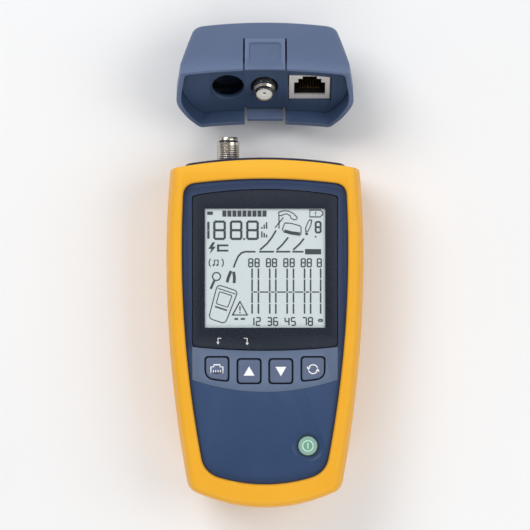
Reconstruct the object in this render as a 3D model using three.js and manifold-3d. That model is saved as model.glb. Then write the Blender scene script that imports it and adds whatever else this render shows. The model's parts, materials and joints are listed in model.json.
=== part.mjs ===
// Hand-held network cable tester in a rubber holster, with its plug-on wiremap adapter.
// Millimetres. The tester lies on its back: +X to its right, +Y towards the connector end,
// +Z out of the display. The origin is on the back face, at the middle of the tester's length.
import * as THREE from "three";
import { mergeVertices } from "three/addons/utils/BufferGeometryUtils.js";
import Module from "manifold-3d";

const wasm = await Module();
wasm.setup();

// ---- Driving dimensions -------------------------------------------------------------------

const GAP = 0.3; // air between neighbouring pieces
const DEPTH = 36; // tester thickness over the holster
const JOIN = 0.2; // how far a post or tab runs into the wall it stands on
const FAR = 120; // past the body in every direction, for cutting tools
const IN_MOUTH = 40; // well inside the mouth, where a cut from the connector end may begin

// Plan outline of the holster: a barrel with an arched top and a rounded bottom.
const OUTLINE = {
  top: 66.2, bottom: -68.8, bottomRise: 10.5,
  wide: 38.2, wideY: 30, sideUp: 340, sideDown: 482,
  cornerTop: 5, cornerBottom: 5.5,
};
// The holster's own outside: its rubber is thicker at the sides and squarer at the corners.
const HOLSTER_OUTLINE = {
  ...OUTLINE,
  top: 67, bottom: -69.1, bottomRise: 12.4,
  wide: 38.9, cornerTop: 3.2, cornerBottom: 3,
};
const ARCH_DROP = 3.4; // fall of the arched top edge at ARCH_HALF from the middle
const ARCH_HALF = 36;

// Rounding of the body's long edges, seen in cross-section.
const BACK_ROUND = { inward: 12, along: 17, lean: 0.6 }; // lean: share that is a straight slope
const FRONT_ROUND = { inward: 1.6, along: 1.6 };
const SIDE_TAPER = { from: 19, to: 33, inward: 2.0 };

const HOLSTER_WALL = 2.4;
const MOUTH_WALL = 1.6; // thinner round the mouth that takes the adapter
const CASE_WALL = 1.9;
const FACE_Z = DEPTH - HOLSTER_WALL; // blue front face
const CASE_SKIN = HOLSTER_WALL + GAP; // how far the case lies inside the holster's outline
const CASE_SPLIT_Z = 18;

// Opening in the front of the holster, where the face shows.
const WINDOW = {
  top: 59.7, bottom: -58.6, bottomRise: 8.7,
  wide: 32.2, wideY: 32, sideUp: 420, sideDown: 428,
  cornerTop: 4.2, cornerBottom: 5.5,
};
const WINDOW_ARCH = 3.0;

// Connector end: a neck of the case stands inside the holster's mouth, and the adapter's
// lip goes into the groove between them.
const NECK_SKIN = 4.9;
const GROOVE_Y = 61.9;
const END_Y = 68.0;
const PANEL = { outer: 67.4, thick: 2.0 };
const PORT_Z = 17.3; // height of both connectors' axes
const F_X = -14.5;
const RJ_X = 16.4;
const CUP = { x: -0.25, r: 6.2, wall: 0.9, depth: 7.2 };

const F_JACK = { r: 4.5, bore: 3.3, pin: 0.55, sunk: 0.4, seat: 1.5 };
const F_JACK_Y = { base: 60, tip: 76.5 };
const F_NUT = { flat: 5.6, tall: 2.65, away: 1.2 }; // flat: half the width over its flats
const RJ = { w: 16.2, h: 13.0, wall: 0.8, face: 1.0 };
const RJ_DEPTH = 15.6;
const RJ_SLOT = { w: 12.2, h: 7.0, up: 2.3, deep: 12.6 };
const RJ_STEPS = [{ w: 9.0, h: 2.0 }, { w: 5.6, h: 1.7 }];
const RJ_OVERLAP = 0.5; // how far each step of the plug opening runs into the one below
const WIRES = { count: 8, pitch: 1.02, half: 0.22, from: 3.2, to: 11.4, low: 0.45, high: 0.95 };
const WIRE_BAR = { half: 4.6, from: 11.2, to: 12.2, low: 0.3, high: 1.1 };

// Display and keypad.
const LENS = {
  top: 55.5, bottom: -6.6, half: 28.1, topArch: 2.4, bottomArch: 1.4, corner: 1.6,
  thick: 0.8, mask: 0.6,
};
const LCD = { half: 23.3, low: 2.0, high: 48.1, border: 1.7, thick: 2.2 };
const BACKLIGHT_THICK = 2.0;
const BOARD = { top: 26.6, thick: 1.6 };
const BOARD_OUTLINE = { ...OUTLINE, top: 54, bottom: -60, wide: 31, bottomRise: 8 };
const CHIP = { x0: -6, x1: 6, y0: 22, y1: 34, tall: 1.6 };
const TRANSFORMER = { x0: 8, x1: 24, y0: 34, y1: 43, tall: 5.5 };
const BUZZER = { x: -14, y: 12, r: 5.5, tall: 4, hole: 1, holeDeep: 1 };
const MAT = { half: 25, low: -22, high: -6.5, corner: 3, thick: 0.6 };
const KEY = { w: 9.1, h: 9.5, corner: 1.3, proud: 0.7, travel: 0.9, slot: 0.35, flange: 0.9 };
const KEY_SLANT = 1.1; // the outer keys' low edge rises this much towards the side
const KEY_EDGE = 0.5; // chamfer round a key's top
const KEY_PLAY = 0.3; // air left under a key that is pressed fully in
const KEYS = [
  { name: "port_key", x: -18.6, y: -14.0, cut: -1 },
  { name: "up_key", x: -6.15, y: -14.8, cut: 0 },
  { name: "down_key", x: 6.15, y: -14.8, cut: 0 },
  { name: "mode_key", x: 18.6, y: -14.0, cut: 1 },
];
const POWER = { x: 16.6, y: -43.7, r: 3.5, proud: 0.6 };

// Battery bay in the back.
const BAY = { half: 16.4, low: -57.4, high: -3.2, corner: 2, top: 8 };
const BACK_OPENING = { side: 1.6, end: 1.2, corner: 3 }; // how far it stands off the bay
const CELL = { r: 7.2, length: 50.2, z: 12.4, low: -55.6, apart: 0.4, nub: 1.4, nubR: 2.7 };
const BATTERY_CONTACT = { half: 12, rise: 5, thick: 0.5 };
const DOOR = { thick: 1.8, corner: 1.8, screwIn: 5 };
const DOOR_SCREW = { r: 2.6, sunk: 0.2, slotHalf: 0.4, slotDeep: 0.9 };

// The four screws that close the case, from its back: post and well of the rear half, post
// and pilot hole of the front half, then the screw itself.
const CASE_SCREW = {
  z: 7, post: 3.2, well: 2.5, wellFloor: 1.9, through: 1.5, frontPost: 2.8, pilot: 1.2,
  head: 2.1, headTall: 1.7, shank: 0.9, reach: 4,
};
const CROSS = { long: 1.2, half: 0.3, deep: 0.8 };

// Adapter, given where it sits when it is plugged on the tester.
const CAP = {
  skin: 1.95, wall: 1.8, lipY: 62.4, straight: 3, faceY: 68.4, plate: 2.0,
  endY: 89.8, endDrop: 2.5, endHalf: 29.7, corner: 4.2, bulge: 0.1,
};
const HOLE_R = 6.2;
const LEAD_IN = { front: 0.7, length: 5 }; // lets the lip in between holster and neck
const NECK_CHAMFER = { rise: 3.6, length: 5 };
const CAP_JACK_X = CUP.x;
const CAP_RJ_X = 17.5;
const CAP_RJ_DEPTH = 11.8;
const CAP_RJ_SUNK = 0.2;
const CAP_NUT_TALL = 1.9;
const CAP_JACK_PROUD = 4.6;
const CAP_JACK_HOLE_R = 5.5;
const LATCH = {
  half: 7.7, slot: 0.8, root: 78.2, thin: 1.3, dish: 0.5, dishSide: 1.6, dishEnd: 2.4,
};
const REAR_LATCH = { half: 7.0, slot: 1.1, root: 76.4, tip: 64.2, thin: 1.3 };
const LATCH_DEPTH = 3; // how far in from the shell's wall a latch's slots are cut
const LATCH_CLEAR = 1.4; // room round the latches in the port plate
const CAP_BOARD = {
  y: 74.2, thick: 1.4, half: 24, low: 10, high: 26, holeGap: 0.6, tabHalf: 4, tabLow: 25,
};
const CAP_SCREW = {
  x: 28.4, y: 73.0, low: 11.8, frontPost: 2.2, pilot: 1.1, pilotDeep: 6, rearPost: 2.5,
  well: 2.0, wellFloor: 1.8, head: 1.7, headTall: 1.5, shank: 0.8, reach: 4,
  slotHalf: 0.3, slotDeep: 0.6,
};
const RESISTOR = { r: 1.1, half: 3 };

// The adapter rests drawn off the tester and turned, so that its ports face up.
// It turns about the small round resistor on its board.
const PIVOT = { x: 12.5, y: 72.6, z: 30.4 };
const DRAWN = { y: 35.44, z: -3.35 };
const TURN = 40; // degrees

// ---- Solids ----------------------------------------------------------------------------------

function solidOf(geometry) {
  const bare = geometry.index ? geometry.toNonIndexed() : geometry.clone();
  bare.deleteAttribute("normal");
  bare.deleteAttribute("uv");
  const merged = mergeVertices(bare, 1e-4);
  return new wasm.Manifold(new wasm.Mesh({
    numProp: 3,
    vertProperties: merged.attributes.position.array,
    triVerts: new Uint32Array(merged.index.array),
  }));
}

function geometryOf(solid) {
  const mesh = solid.getMesh();
  const geometry = new THREE.BufferGeometry();
  const points = new Float32Array(mesh.vertProperties);
  geometry.setAttribute("position", new THREE.BufferAttribute(points, 3));
  geometry.setIndex(new THREE.BufferAttribute(new Uint32Array(mesh.triVerts), 1));
  return geometry;
}

// Box between two corners.
function box(x0, x1, y0, y1, z0, z1) {
  const geometry = new THREE.BoxGeometry(x1 - x0, y1 - y0, z1 - z0);
  return solidOf(geometry.translate((x0 + x1) / 2, (y0 + y1) / 2, (z0 + z1) / 2));
}

// Round rod along Y.
function rodY(x, z, r, y0, y1, sides = 32) {
  const geometry = new THREE.CylinderGeometry(r, r, y1 - y0, sides);
  return solidOf(geometry.translate(x, (y0 + y1) / 2, z));
}

// Round rod along Z.
function rodZ(x, y, r, z0, z1, sides = 28) {
  const geometry = new THREE.CylinderGeometry(r, r, z1 - z0, sides).rotateX(Math.PI / 2);
  return solidOf(geometry.translate(x, y, (z0 + z1) / 2));
}

// Round rod along X.
function rodX(y, z, r, x0, x1, sides = 16) {
  const geometry = new THREE.CylinderGeometry(r, r, x1 - x0, sides).rotateZ(Math.PI / 2);
  return solidOf(geometry.translate((x0 + x1) / 2, y, z));
}

// Straight prism of a plan outline.
function prism(outline, z0, z1) {
  return loft([{ outline, z: z0 }, { outline, z: z1 }]);
}

// Prism along X of a profile whose points are (y, z).
function prismX(profile, x0, x1) {
  const alongX = [0, 1, 0, 0, 0, 0, 1, 0, 1, 0, 0, 0, 0, 0, 0, 1];
  return prism(profile, x0, x1).transform(alongX);
}

// Closed skin through outlines of equal point count, from the lowest to the highest.
function loft(sections) {
  const count = sections[0].outline.length;
  const points = sections.flatMap(({ outline, z }) => outline.flatMap((p) => [p.x, p.y, z]));
  const faces = [];
  for (let s = 0; s < sections.length - 1; s += 1) {
    for (let i = 0; i < count; i += 1) {
      const a = s * count + i;
      const b = s * count + ((i + 1) % count);
      faces.push(a, b, b + count, a, b + count, a + count);
    }
  }
  const last = (sections.length - 1) * count;
  for (const [a, b, c] of THREE.ShapeUtils.triangulateShape(sections[0].outline, [])) {
    faces.push(a, c, b);
  }
  for (const [a, b, c] of THREE.ShapeUtils.triangulateShape(sections.at(-1).outline, [])) {
    faces.push(last + a, last + b, last + c);
  }
  const geometry = new THREE.BufferGeometry();
  geometry.setAttribute("position", new THREE.Float32BufferAttribute(points, 3));
  geometry.setIndex(faces);
  return solidOf(geometry);
}

// ---- Outlines -------------------------------------------------------------------------------

const archAt = (x, drop = ARCH_DROP) => -drop * (x / ARCH_HALF) ** 2;

// Points of a quadratic curve, without its first point.
function bend(from, via, to, steps) {
  const curve = new THREE.QuadraticBezierCurve(from, via, to);
  return curve.getPoints(steps).slice(1);
}

const v2 = (x, y) => new THREE.Vector2(x, y);

// Barrel outline, counter-clockwise, taken in by inset all round.
function barrel(shape, arch, inset = 0, above = 0) {
  const top = shape.top - inset + above;
  const bottom = shape.bottom + inset;
  const side = (y) => {
    const radius = y > shape.wideY ? shape.sideUp : shape.sideDown;
    return shape.wide - inset - (y - shape.wideY) ** 2 / (2 * radius);
  };
  const topEdge = (x) => top + archAt(x, arch);
  const bottomEdge = (x) => bottom + shape.bottomRise * (x / shape.wide) ** 2;
  let topCorner = v2(side(top), topEdge(side(top)));
  let lowCorner = v2(side(bottom), bottomEdge(side(bottom)));
  for (let pass = 0; pass < 4; pass += 1) {
    topCorner = v2(side(topCorner.y), topEdge(side(topCorner.y)));
    lowCorner = v2(side(lowCorner.y), bottomEdge(side(lowCorner.y)));
  }
  const rTop = Math.max(shape.cornerTop - inset * 0.3, 1);
  const rLow = Math.max(shape.cornerBottom - inset * 0.3, 1);
  const lowStart = v2(lowCorner.x - rLow, bottomEdge(lowCorner.x - rLow));
  const lowEnd = v2(side(lowCorner.y + rLow), lowCorner.y + rLow);
  const topStart = v2(side(topCorner.y - rTop), topCorner.y - rTop);
  const topEnd = v2(topCorner.x - rTop, topEdge(topCorner.x - rTop));
  const half = [];
  const across = 5;
  for (let i = 0; i <= across; i += 1) {
    const x = (lowStart.x * i) / across;
    half.push(v2(x, bottomEdge(x)));
  }
  half.push(...bend(lowStart, lowCorner, lowEnd, 3));
  const up = 8;
  for (let i = 1; i <= up; i += 1) {
    const y = THREE.MathUtils.lerp(lowEnd.y, topStart.y, i / up);
    half.push(v2(side(y), y));
  }
  half.push(...bend(topStart, topCorner, topEnd, 3));
  for (let i = across - 1; i >= 0; i -= 1) {
    const x = (topEnd.x * i) / across;
    half.push(v2(x, topEdge(x)));
  }
  const mirrored = half.slice(1, -1).reverse().map((p) => v2(-p.x, p.y));
  return [...half, ...mirrored];
}

// Everything up to an arched line at y, over any height.
function belowArch(y) {
  const points = [];
  for (let i = 0; i <= 16; i += 1) {
    const x = 48 - 6 * i;
    points.push(v2(x, y + archAt(x)));
  }
  return prism([...points, v2(-48, -90), v2(48, -90)], -5, DEPTH + 10);
}

function between(y0, y1) {
  return belowArch(y1).subtract(belowArch(y0));
}

// How far the body's surface lies inside its plan outline at height z, for a surface that is
// skin inside the holster's own.
function roundingAt(z, skin) {
  const back = { inward: BACK_ROUND.inward - skin, along: BACK_ROUND.along - skin };
  const front = FRONT_ROUND;
  const low = Math.max((skin + back.along - z) / back.along, 0);
  const high = Math.max((z - (DEPTH - skin - front.along)) / front.along, 0);
  const tapered = (z - SIDE_TAPER.from) / (SIDE_TAPER.to - SIDE_TAPER.from);
  const taper = THREE.MathUtils.clamp(tapered, 0, 1);
  const arc = (t) => 1 - Math.sqrt(Math.max(1 - t * t, 0));
  const behind = BACK_ROUND.lean * low + (1 - BACK_ROUND.lean) * arc(low);
  return back.inward * behind + front.inward * arc(high) + SIDE_TAPER.inward * taper;
}

// Heights at which a surface skin inside the holster's is lofted.
function levels(skin) {
  const low = skin;
  const high = DEPTH - skin;
  const back = BACK_ROUND.along - skin;
  const front = FRONT_ROUND.along;
  const { degToRad } = THREE.MathUtils;
  const rising = [0, 22, 40, 60].map((a) => low + back * (1 - Math.cos(degToRad(a))));
  const closing = [0, 45, 90].map((a) => high - front + front * Math.sin(degToRad(a)));
  return [...rising, low + back, SIDE_TAPER.from, ...closing];
}

// The tester's body, skin inside the holster's surface, carried on past the top end.
function body(skin, shape = OUTLINE) {
  return loft(levels(skin).map((z) => ({
    z, outline: barrel(shape, ARCH_DROP, skin + roundingAt(z, skin), skin + 26),
  })));
}

// Outline with rounded corners through the given points.
function rounded(corners, radius, steps = 4) {
  const count = corners.length;
  return corners.flatMap((corner, i) => {
    const before = corners[(i + count - 1) % count];
    const after = corners[(i + 1) % count];
    const from = corner.clone().add(before.clone().sub(corner).setLength(radius));
    const to = corner.clone().add(after.clone().sub(corner).setLength(radius));
    return [from, ...bend(from, corner, to, steps)];
  });
}

const rectangle = (x0, x1, y0, y1) => [v2(x0, y0), v2(x1, y0), v2(x1, y1), v2(x0, y1)];

// ---- Materials --------------------------------------------------------------------------------

const material = (color, roughness, metalness = 0) =>
  new THREE.MeshStandardMaterial({ color, roughness, metalness });

const YELLOW = material(0xf9b233, 0.6);
const BLUE = material(0x3a4f7c, 0.5);
const DARK_BLUE = material(0x2c3a52, 0.55);
const LENS_CLEAR = material(0x9aa7b5, 0.1);
const LENS_INK = material(0x1b2234, 0.3);
const LCD_GREY = material(0xcfdcdf, 0.35);
const WHITE = material(0xeeeeea, 0.5);
const KEY_BLUE = material(0x5b6a8e, 0.6);
const KEY_GREEN = material(0x7fc4a4, 0.5);
const BOARD_GREEN = material(0x1f5b36, 0.5);
const NICKEL = material(0xc9c6c0, 0.25, 1);
const STEEL = material(0x9fa3a8, 0.35, 1);
const GOLD = material(0xd9b25a, 0.25, 1);
const BLACK = material(0x141416, 0.55);
const CELL_SKIN = material(0x2b2b2e, 0.35);
const TAN = material(0xc8a878, 0.5);

const part = new THREE.Group();

function piece(name, solid, look, parent = part) {
  const mesh = new THREE.Mesh(geometryOf(solid), look);
  mesh.name = name;
  parent.add(mesh);
  return mesh;
}

// ---- Tester: holster and case ------------------------------------------------------------------

function makeHolster() {
  const window = prism(barrel(WINDOW, WINDOW_ARCH), DEPTH / 2, FAR);
  const half = BAY.half + BACK_OPENING.side;
  const opening = rectangle(-half, half, BAY.low - BACK_OPENING.end, BAY.high + BACK_OPENING.end);
  const backOpening = prism(rounded(opening, BACK_OPENING.corner), -FAR, BACK_ROUND.along);
  return body(0, HOLSTER_OUTLINE)
    .intersect(belowArch(HOLSTER_OUTLINE.top))
    .subtract(body(HOLSTER_WALL))
    .subtract(body(MOUTH_WALL).subtract(belowArch(GROOVE_Y)))
    .subtract(window)
    .subtract(backOpening);
}

function makeCase() {
  const outside = body(CASE_SKIN).intersect(belowArch(GROOVE_Y))
    .add(body(NECK_SKIN).intersect(belowArch(END_Y)));
  const inside = body(CASE_SKIN + CASE_WALL).intersect(belowArch(GROOVE_Y - CASE_WALL))
    .add(body(NECK_SKIN + CASE_WALL));
  const chamfer = prismX([
    v2(END_Y - NECK_CHAMFER.length, 0), v2(END_Y + 3, 0),
    v2(END_Y + 3, NECK_SKIN + NECK_CHAMFER.rise * 1.6), v2(END_Y - NECK_CHAMFER.length, NECK_SKIN),
  ], -FAR, FAR);
  return outside.subtract(inside).subtract(chamfer);
}

function keyOutline(key, grow = 0) {
  const w = KEY.w / 2 + grow;
  const h = KEY.h / 2 + grow;
  const low = (side) => -h + (side === key.cut ? KEY_SLANT : 0);
  const corners = [v2(-w, low(-1)), v2(w, low(1)), v2(w, h), v2(-w, h)];
  return rounded(corners, KEY.corner + grow, 3).map((p) => v2(p.x + key.x, p.y + key.y));
}

function lensOutline(grow = 0) {
  const half = LENS.half + grow;
  const steps = 6;
  const low = [];
  const high = [];
  for (let i = 1; i < steps; i += 1) {
    const x = half * ((2 * i) / steps - 1);
    low.push(v2(x, LENS.bottom - grow + LENS.bottomArch * (x / half) ** 2));
    high.unshift(v2(x, LENS.top + grow - LENS.topArch * (x / half) ** 2));
  }
  const bottomCorner = LENS.bottom - grow + LENS.bottomArch;
  const topCorner = LENS.top + grow - LENS.topArch;
  const r = LENS.corner;
  const corner = (x, y, side, up) => {
    const along = v2(x - side * r, y);
    const beside = v2(x, y - up * r);
    const order = side * up > 0 ? [beside, along] : [along, beside];
    return [order[0], ...bend(order[0], v2(x, y), order[1], 3)];
  };
  return [
    ...low, ...corner(half, bottomCorner, 1, -1), ...corner(half, topCorner, 1, 1),
    ...high, ...corner(-half, topCorner, -1, 1), ...corner(-half, bottomCorner, -1, -1),
  ];
}

function addCase() {
  const shell = makeCase();
  const whole = body(CASE_SKIN);
  const above = box(-FAR, FAR, -FAR, FAR, CASE_SPLIT_Z + GAP / 2, FAR);
  const below = box(-FAR, FAR, -FAR, FAR, -FAR, CASE_SPLIT_Z - GAP / 2);
  const lensPocket = prism(lensOutline(GAP), FACE_Z - LENS.thick - LENS.mask - GAP, DEPTH);
  const lcdHole = box(-LCD.half - LCD.border, LCD.half + LCD.border,
    LCD.low - LCD.border, LCD.high + LCD.border, BOARD.top, DEPTH);
  let front = shell.intersect(above).subtract(lensPocket).subtract(lcdHole);
  for (const key of KEYS) {
    front = front.subtract(prism(keyOutline(key, KEY.slot), BOARD.top, DEPTH));
  }
  front = front.subtract(rodZ(POWER.x, POWER.y, POWER.r + KEY.slot, BOARD.top, DEPTH));

  const bayOutline = rounded(rectangle(-BAY.half, BAY.half, BAY.low, BAY.high), BAY.corner);
  const bay = prism(bayOutline, 0, BAY.top);
  let rear = shell.intersect(below).subtract(bay);
  for (const { x, y } of screwPlaces()) {
    rear = rear
      .add(whole.intersect(rodZ(x, y, CASE_SCREW.post, CASE_SKIN, CASE_SPLIT_Z - GAP, 20)))
      .subtract(rodZ(x, y, CASE_SCREW.well, -FAR, CASE_SCREW.z + CASE_SCREW.wellFloor, 20))
      .subtract(rodZ(x, y, CASE_SCREW.through, -FAR, CASE_SPLIT_Z, 16));
    front = front
      .add(rodZ(x, y, CASE_SCREW.frontPost, CASE_SPLIT_Z + GAP, FACE_Z - CASE_WALL + JOIN, 20))
      .subtract(rodZ(x, y, CASE_SCREW.pilot, 0, BOARD.top - BOARD.thick - 1.5, 16));
  }
  piece("front_case", front, BLUE);
  piece("rear_case", rear, BLUE);
}

function screwPlaces() {
  const places = [];
  for (const side of [-1, 1]) {
    places.push({ x: 28.1 * side, y: 40 }, { x: 20.5 * side, y: -52 });
  }
  return places;
}

// Straight hole that a modular jack's shield fits through.
function jackHole(x) {
  const halfWide = RJ.w / 2 + GAP;
  const halfTall = RJ.h / 2 + GAP;
  return box(x - halfWide, x + halfWide, IN_MOUTH, FAR, PORT_Z - halfTall, PORT_Z + halfTall);
}

function addEndPanel() {
  const inner = PANEL.outer - PANEL.thick;
  const cup = rodY(CUP.x, PORT_Z, CUP.r + CUP.wall, PANEL.outer - CUP.depth, PANEL.outer - 1);
  const panel = body(NECK_SKIN + CASE_WALL + GAP).intersect(between(inner, PANEL.outer))
    .add(cup)
    .subtract(rodY(CUP.x, PORT_Z, CUP.r, PANEL.outer - CUP.depth + CUP.wall, FAR))
    .subtract(rodY(F_X, PORT_Z, F_JACK.r + GAP, IN_MOUTH, FAR))
    .subtract(jackHole(RJ_X));
  piece("end_panel", panel, DARK_BLUE);
}

// ---- Connectors, used on the tester and on the adapter ------------------------------------------

// F-type jack along Y: threaded barrel, white insulator and lock nut. sign is +1 where it
// points to +Y.
function addFJack(prefix, x, base, tip, sign, parent) {
  const low = Math.min(base, tip);
  const high = Math.max(base, tip);
  const barrelSolid = rodY(x, PORT_Z, F_JACK.r, low, high, 28)
    .subtract(rodY(x, PORT_Z, F_JACK.bore, low - 1, high + 1, 24));
  const face = tip - sign * F_JACK.sunk;
  const root = base + sign * F_JACK.seat;
  const pinDeep = 6;
  const insulator = rodY(x, PORT_Z, F_JACK.bore - GAP, Math.min(face, root), Math.max(face, root), 24)
    .subtract(rodY(x, PORT_Z, F_JACK.pin, face - pinDeep, face + pinDeep, 10));
  piece(`${prefix}_barrel`, barrelSolid, NICKEL, parent);
  piece(`${prefix}_insulator`, insulator, WHITE, parent);
}

// Six-sided nut on a jack's barrel, from y0 to y1.
function addNut(name, x, y0, y1, parent) {
  const nut = rodY(x, PORT_Z, F_NUT.flat / Math.cos(Math.PI / 6), y0, y1, 6)
    .subtract(rodY(x, PORT_Z, F_JACK.r + GAP, y0 - 1, y1 + 1, 28));
  piece(name, nut, NICKEL, parent);
}

// Plug opening of an eight-way modular jack, from y0 to y1, taken in by inset.
function plugOpening(x, y0, y1, inset = 0) {
  const floor = PORT_Z - RJ.h / 2 + RJ_SLOT.up;
  let opening = box(x - RJ_SLOT.w / 2 + inset, x + RJ_SLOT.w / 2 - inset, y0, y1,
    floor + inset, floor + RJ_SLOT.h - inset);
  let level = floor + RJ_SLOT.h - inset - RJ_OVERLAP;
  for (const step of RJ_STEPS) {
    opening = opening.add(box(x - step.w / 2 + inset, x + step.w / 2 - inset, y0, y1,
      level, level + step.h + RJ_OVERLAP));
    level += step.h;
  }
  return opening;
}

// Shielded jack whose face is at y and whose body runs away from it. sign is +1 where the
// face looks to +Y.
function addModularJack(prefix, x, y, deep, sign, parent) {
  const range = (from, to) => [y - sign * from, y - sign * to].sort((a, b) => a - b);
  const bounds = (inset, y0, y1) => box(x - RJ.w / 2 + inset, x + RJ.w / 2 - inset, y0, y1,
    PORT_Z - RJ.h / 2 + inset, PORT_Z + RJ.h / 2 - inset);
  const shield = bounds(0, ...range(0, deep))
    .subtract(bounds(RJ.wall, ...range(RJ.face, deep + 5)))
    .subtract(plugOpening(x, ...range(-2, 4)));
  const housing = bounds(RJ.wall + GAP, ...range(RJ.face + GAP, deep - 0.4))
    .subtract(plugOpening(x, ...range(-2, RJ_SLOT.deep), -0.2));
  const floor = PORT_Z - RJ.h / 2 + RJ_SLOT.up;
  let contacts = box(x - WIRE_BAR.half, x + WIRE_BAR.half, ...range(WIRE_BAR.from, WIRE_BAR.to),
    floor + WIRE_BAR.low, floor + WIRE_BAR.high);
  for (let i = 0; i < WIRES.count; i += 1) {
    const wire = x + (i - (WIRES.count - 1) / 2) * WIRES.pitch;
    contacts = contacts.add(box(wire - WIRES.half, wire + WIRES.half,
      ...range(WIRES.from, WIRES.to), floor + WIRES.low, floor + WIRES.high));
  }
  piece(`${prefix}_shield`, shield, NICKEL, parent);
  piece(`${prefix}_housing`, housing, BLACK, parent);
  piece(`${prefix}_contacts`, contacts, GOLD, parent);
}

// ---- Tester: display, keys and inside -------------------------------------------------------------

function addDisplay() {
  const maskTop = FACE_Z - LENS.thick - GAP / 3;
  piece("display_lens", prism(lensOutline(), FACE_Z - LENS.thick, FACE_Z), LENS_CLEAR);
  const mask = prism(lensOutline(), maskTop - LENS.mask, maskTop)
    .subtract(box(-LCD.half, LCD.half, LCD.low, LCD.high, BOARD.top, DEPTH));
  piece("lens_mask", mask, LENS_INK);
  const top = maskTop - LENS.mask - GAP;
  const rim = LCD.border - GAP;
  const plate = (z0, z1) => box(-LCD.half - rim, LCD.half + rim, LCD.low - rim, LCD.high + rim, z0, z1);
  piece("lcd_glass", plate(top - LCD.thick, top), LCD_GREY);
  const lightTop = top - LCD.thick - GAP;
  piece("backlight", plate(lightTop - BACKLIGHT_THICK, lightTop), WHITE);
}

function addBoard() {
  let board = prism(barrel(BOARD_OUTLINE, ARCH_DROP), BOARD.top - BOARD.thick, BOARD.top);
  for (const { x, y } of screwPlaces()) {
    board = board.subtract(rodZ(x, y, CASE_SCREW.frontPost + GAP, 0, DEPTH, 20));
  }
  piece("main_board", board, BOARD_GREEN);
  const under = BOARD.top - BOARD.thick - GAP;
  const chip = ({ x0, x1, y0, y1, tall }) => box(x0, x1, y0, y1, under - tall, under);
  piece("processor_chip", chip(CHIP), BLACK);
  piece("line_transformer", chip(TRANSFORMER), BLACK);
  const low = under - BUZZER.tall;
  const buzzer = rodZ(BUZZER.x, BUZZER.y, BUZZER.r, low, under, 24)
    .subtract(rodZ(BUZZER.x, BUZZER.y, BUZZER.hole, low - 1, low + BUZZER.holeDeep, 12));
  piece("buzzer", buzzer, BLACK);
  const matLow = BOARD.top + GAP;
  const matOutline = rounded(rectangle(-MAT.half, MAT.half, MAT.low, MAT.high), MAT.corner);
  piece("keypad_mat", prism(matOutline, matLow, matLow + MAT.thick), BLACK);
}

function addKeys() {
  const top = FACE_Z + KEY.proud;
  const foot = BOARD.top + GAP + MAT.thick + KEY.travel + KEY_PLAY;
  const flangeTop = FACE_Z - CASE_WALL - GAP;
  for (const key of KEYS) {
    const crown = loft([
      { outline: keyOutline(key), z: foot },
      { outline: keyOutline(key), z: top - KEY_EDGE },
      { outline: keyOutline(key, -KEY_EDGE), z: top },
    ]);
    const flange = prism(keyOutline(key, KEY.flange), foot, flangeTop);
    piece(key.name, crown.add(flange), KEY_BLUE);
  }
  const powerTop = FACE_Z + POWER.proud;
  const power = rodZ(POWER.x, POWER.y, POWER.r, foot, powerTop)
    .add(rodZ(POWER.x, POWER.y, POWER.r + KEY.flange, foot, flangeTop));
  piece("power_key", power, KEY_GREEN);
}

function addBatteries() {
  const end = CELL.low + CELL.length;
  for (const [name, side] of [["battery_left", -1], ["battery_right", 1]]) {
    const x = side * (CELL.r + CELL.apart);
    const ends = side > 0 ? [CELL.low, end - CELL.nub] : [CELL.low + CELL.nub, end];
    const cell = rodY(x, CELL.z, CELL.r, ...ends, 24)
      .add(rodY(x, CELL.z, CELL.nubR, CELL.low, end, 16));
    piece(name, cell, CELL_SKIN);
  }
  const { half, rise, thick } = BATTERY_CONTACT;
  const plate = (y) => box(-half, half, y, y + thick, CELL.z - rise, CELL.z + rise);
  piece("battery_contact_low", plate(CELL.low - GAP - thick), STEEL);
  piece("battery_contact_high", plate(end + GAP), STEEL);
}

function addDoor() {
  const plan = rectangle(-BAY.half + GAP, BAY.half - GAP, BAY.low + GAP, BAY.high - GAP);
  const screwY = BAY.high - DOOR.screwIn;
  const top = CASE_SKIN + DOOR.thick;
  const door = prism(rounded(plan, DOOR.corner), CASE_SKIN, top)
    .subtract(rodZ(0, screwY, DOOR_SCREW.r + GAP, 0, FAR, 24));
  piece("battery_door", door, BLUE);
  const { r, sunk, slotHalf, slotDeep } = DOOR_SCREW;
  const screw = rodZ(0, screwY, r, CASE_SKIN + sunk, top, 24)
    .subtract(box(-2 * r, 2 * r, screwY - slotHalf, screwY + slotHalf, 0, CASE_SKIN + slotDeep));
  piece("door_screw", screw, STEEL);
}

function addCaseScrews() {
  const { z, head, headTall, shank, reach } = CASE_SCREW;
  screwPlaces().forEach(({ x, y }, i) => {
    const screw = rodZ(x, y, head, z, z + headTall, 20)
      .add(rodZ(x, y, shank, z + headTall / 2, CASE_SPLIT_Z + reach, 12));
    const { long, half, deep } = CROSS;
    const cross = box(x - long, x + long, y - half, y + half, 0, z + deep)
      .add(box(x - half, x + half, y - long, y + long, 0, z + deep));
    piece(`case_screw_${i + 1}`, screw.subtract(cross), STEEL);
  });
}

// ---- Adapter ------------------------------------------------------------------------------------------

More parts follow.
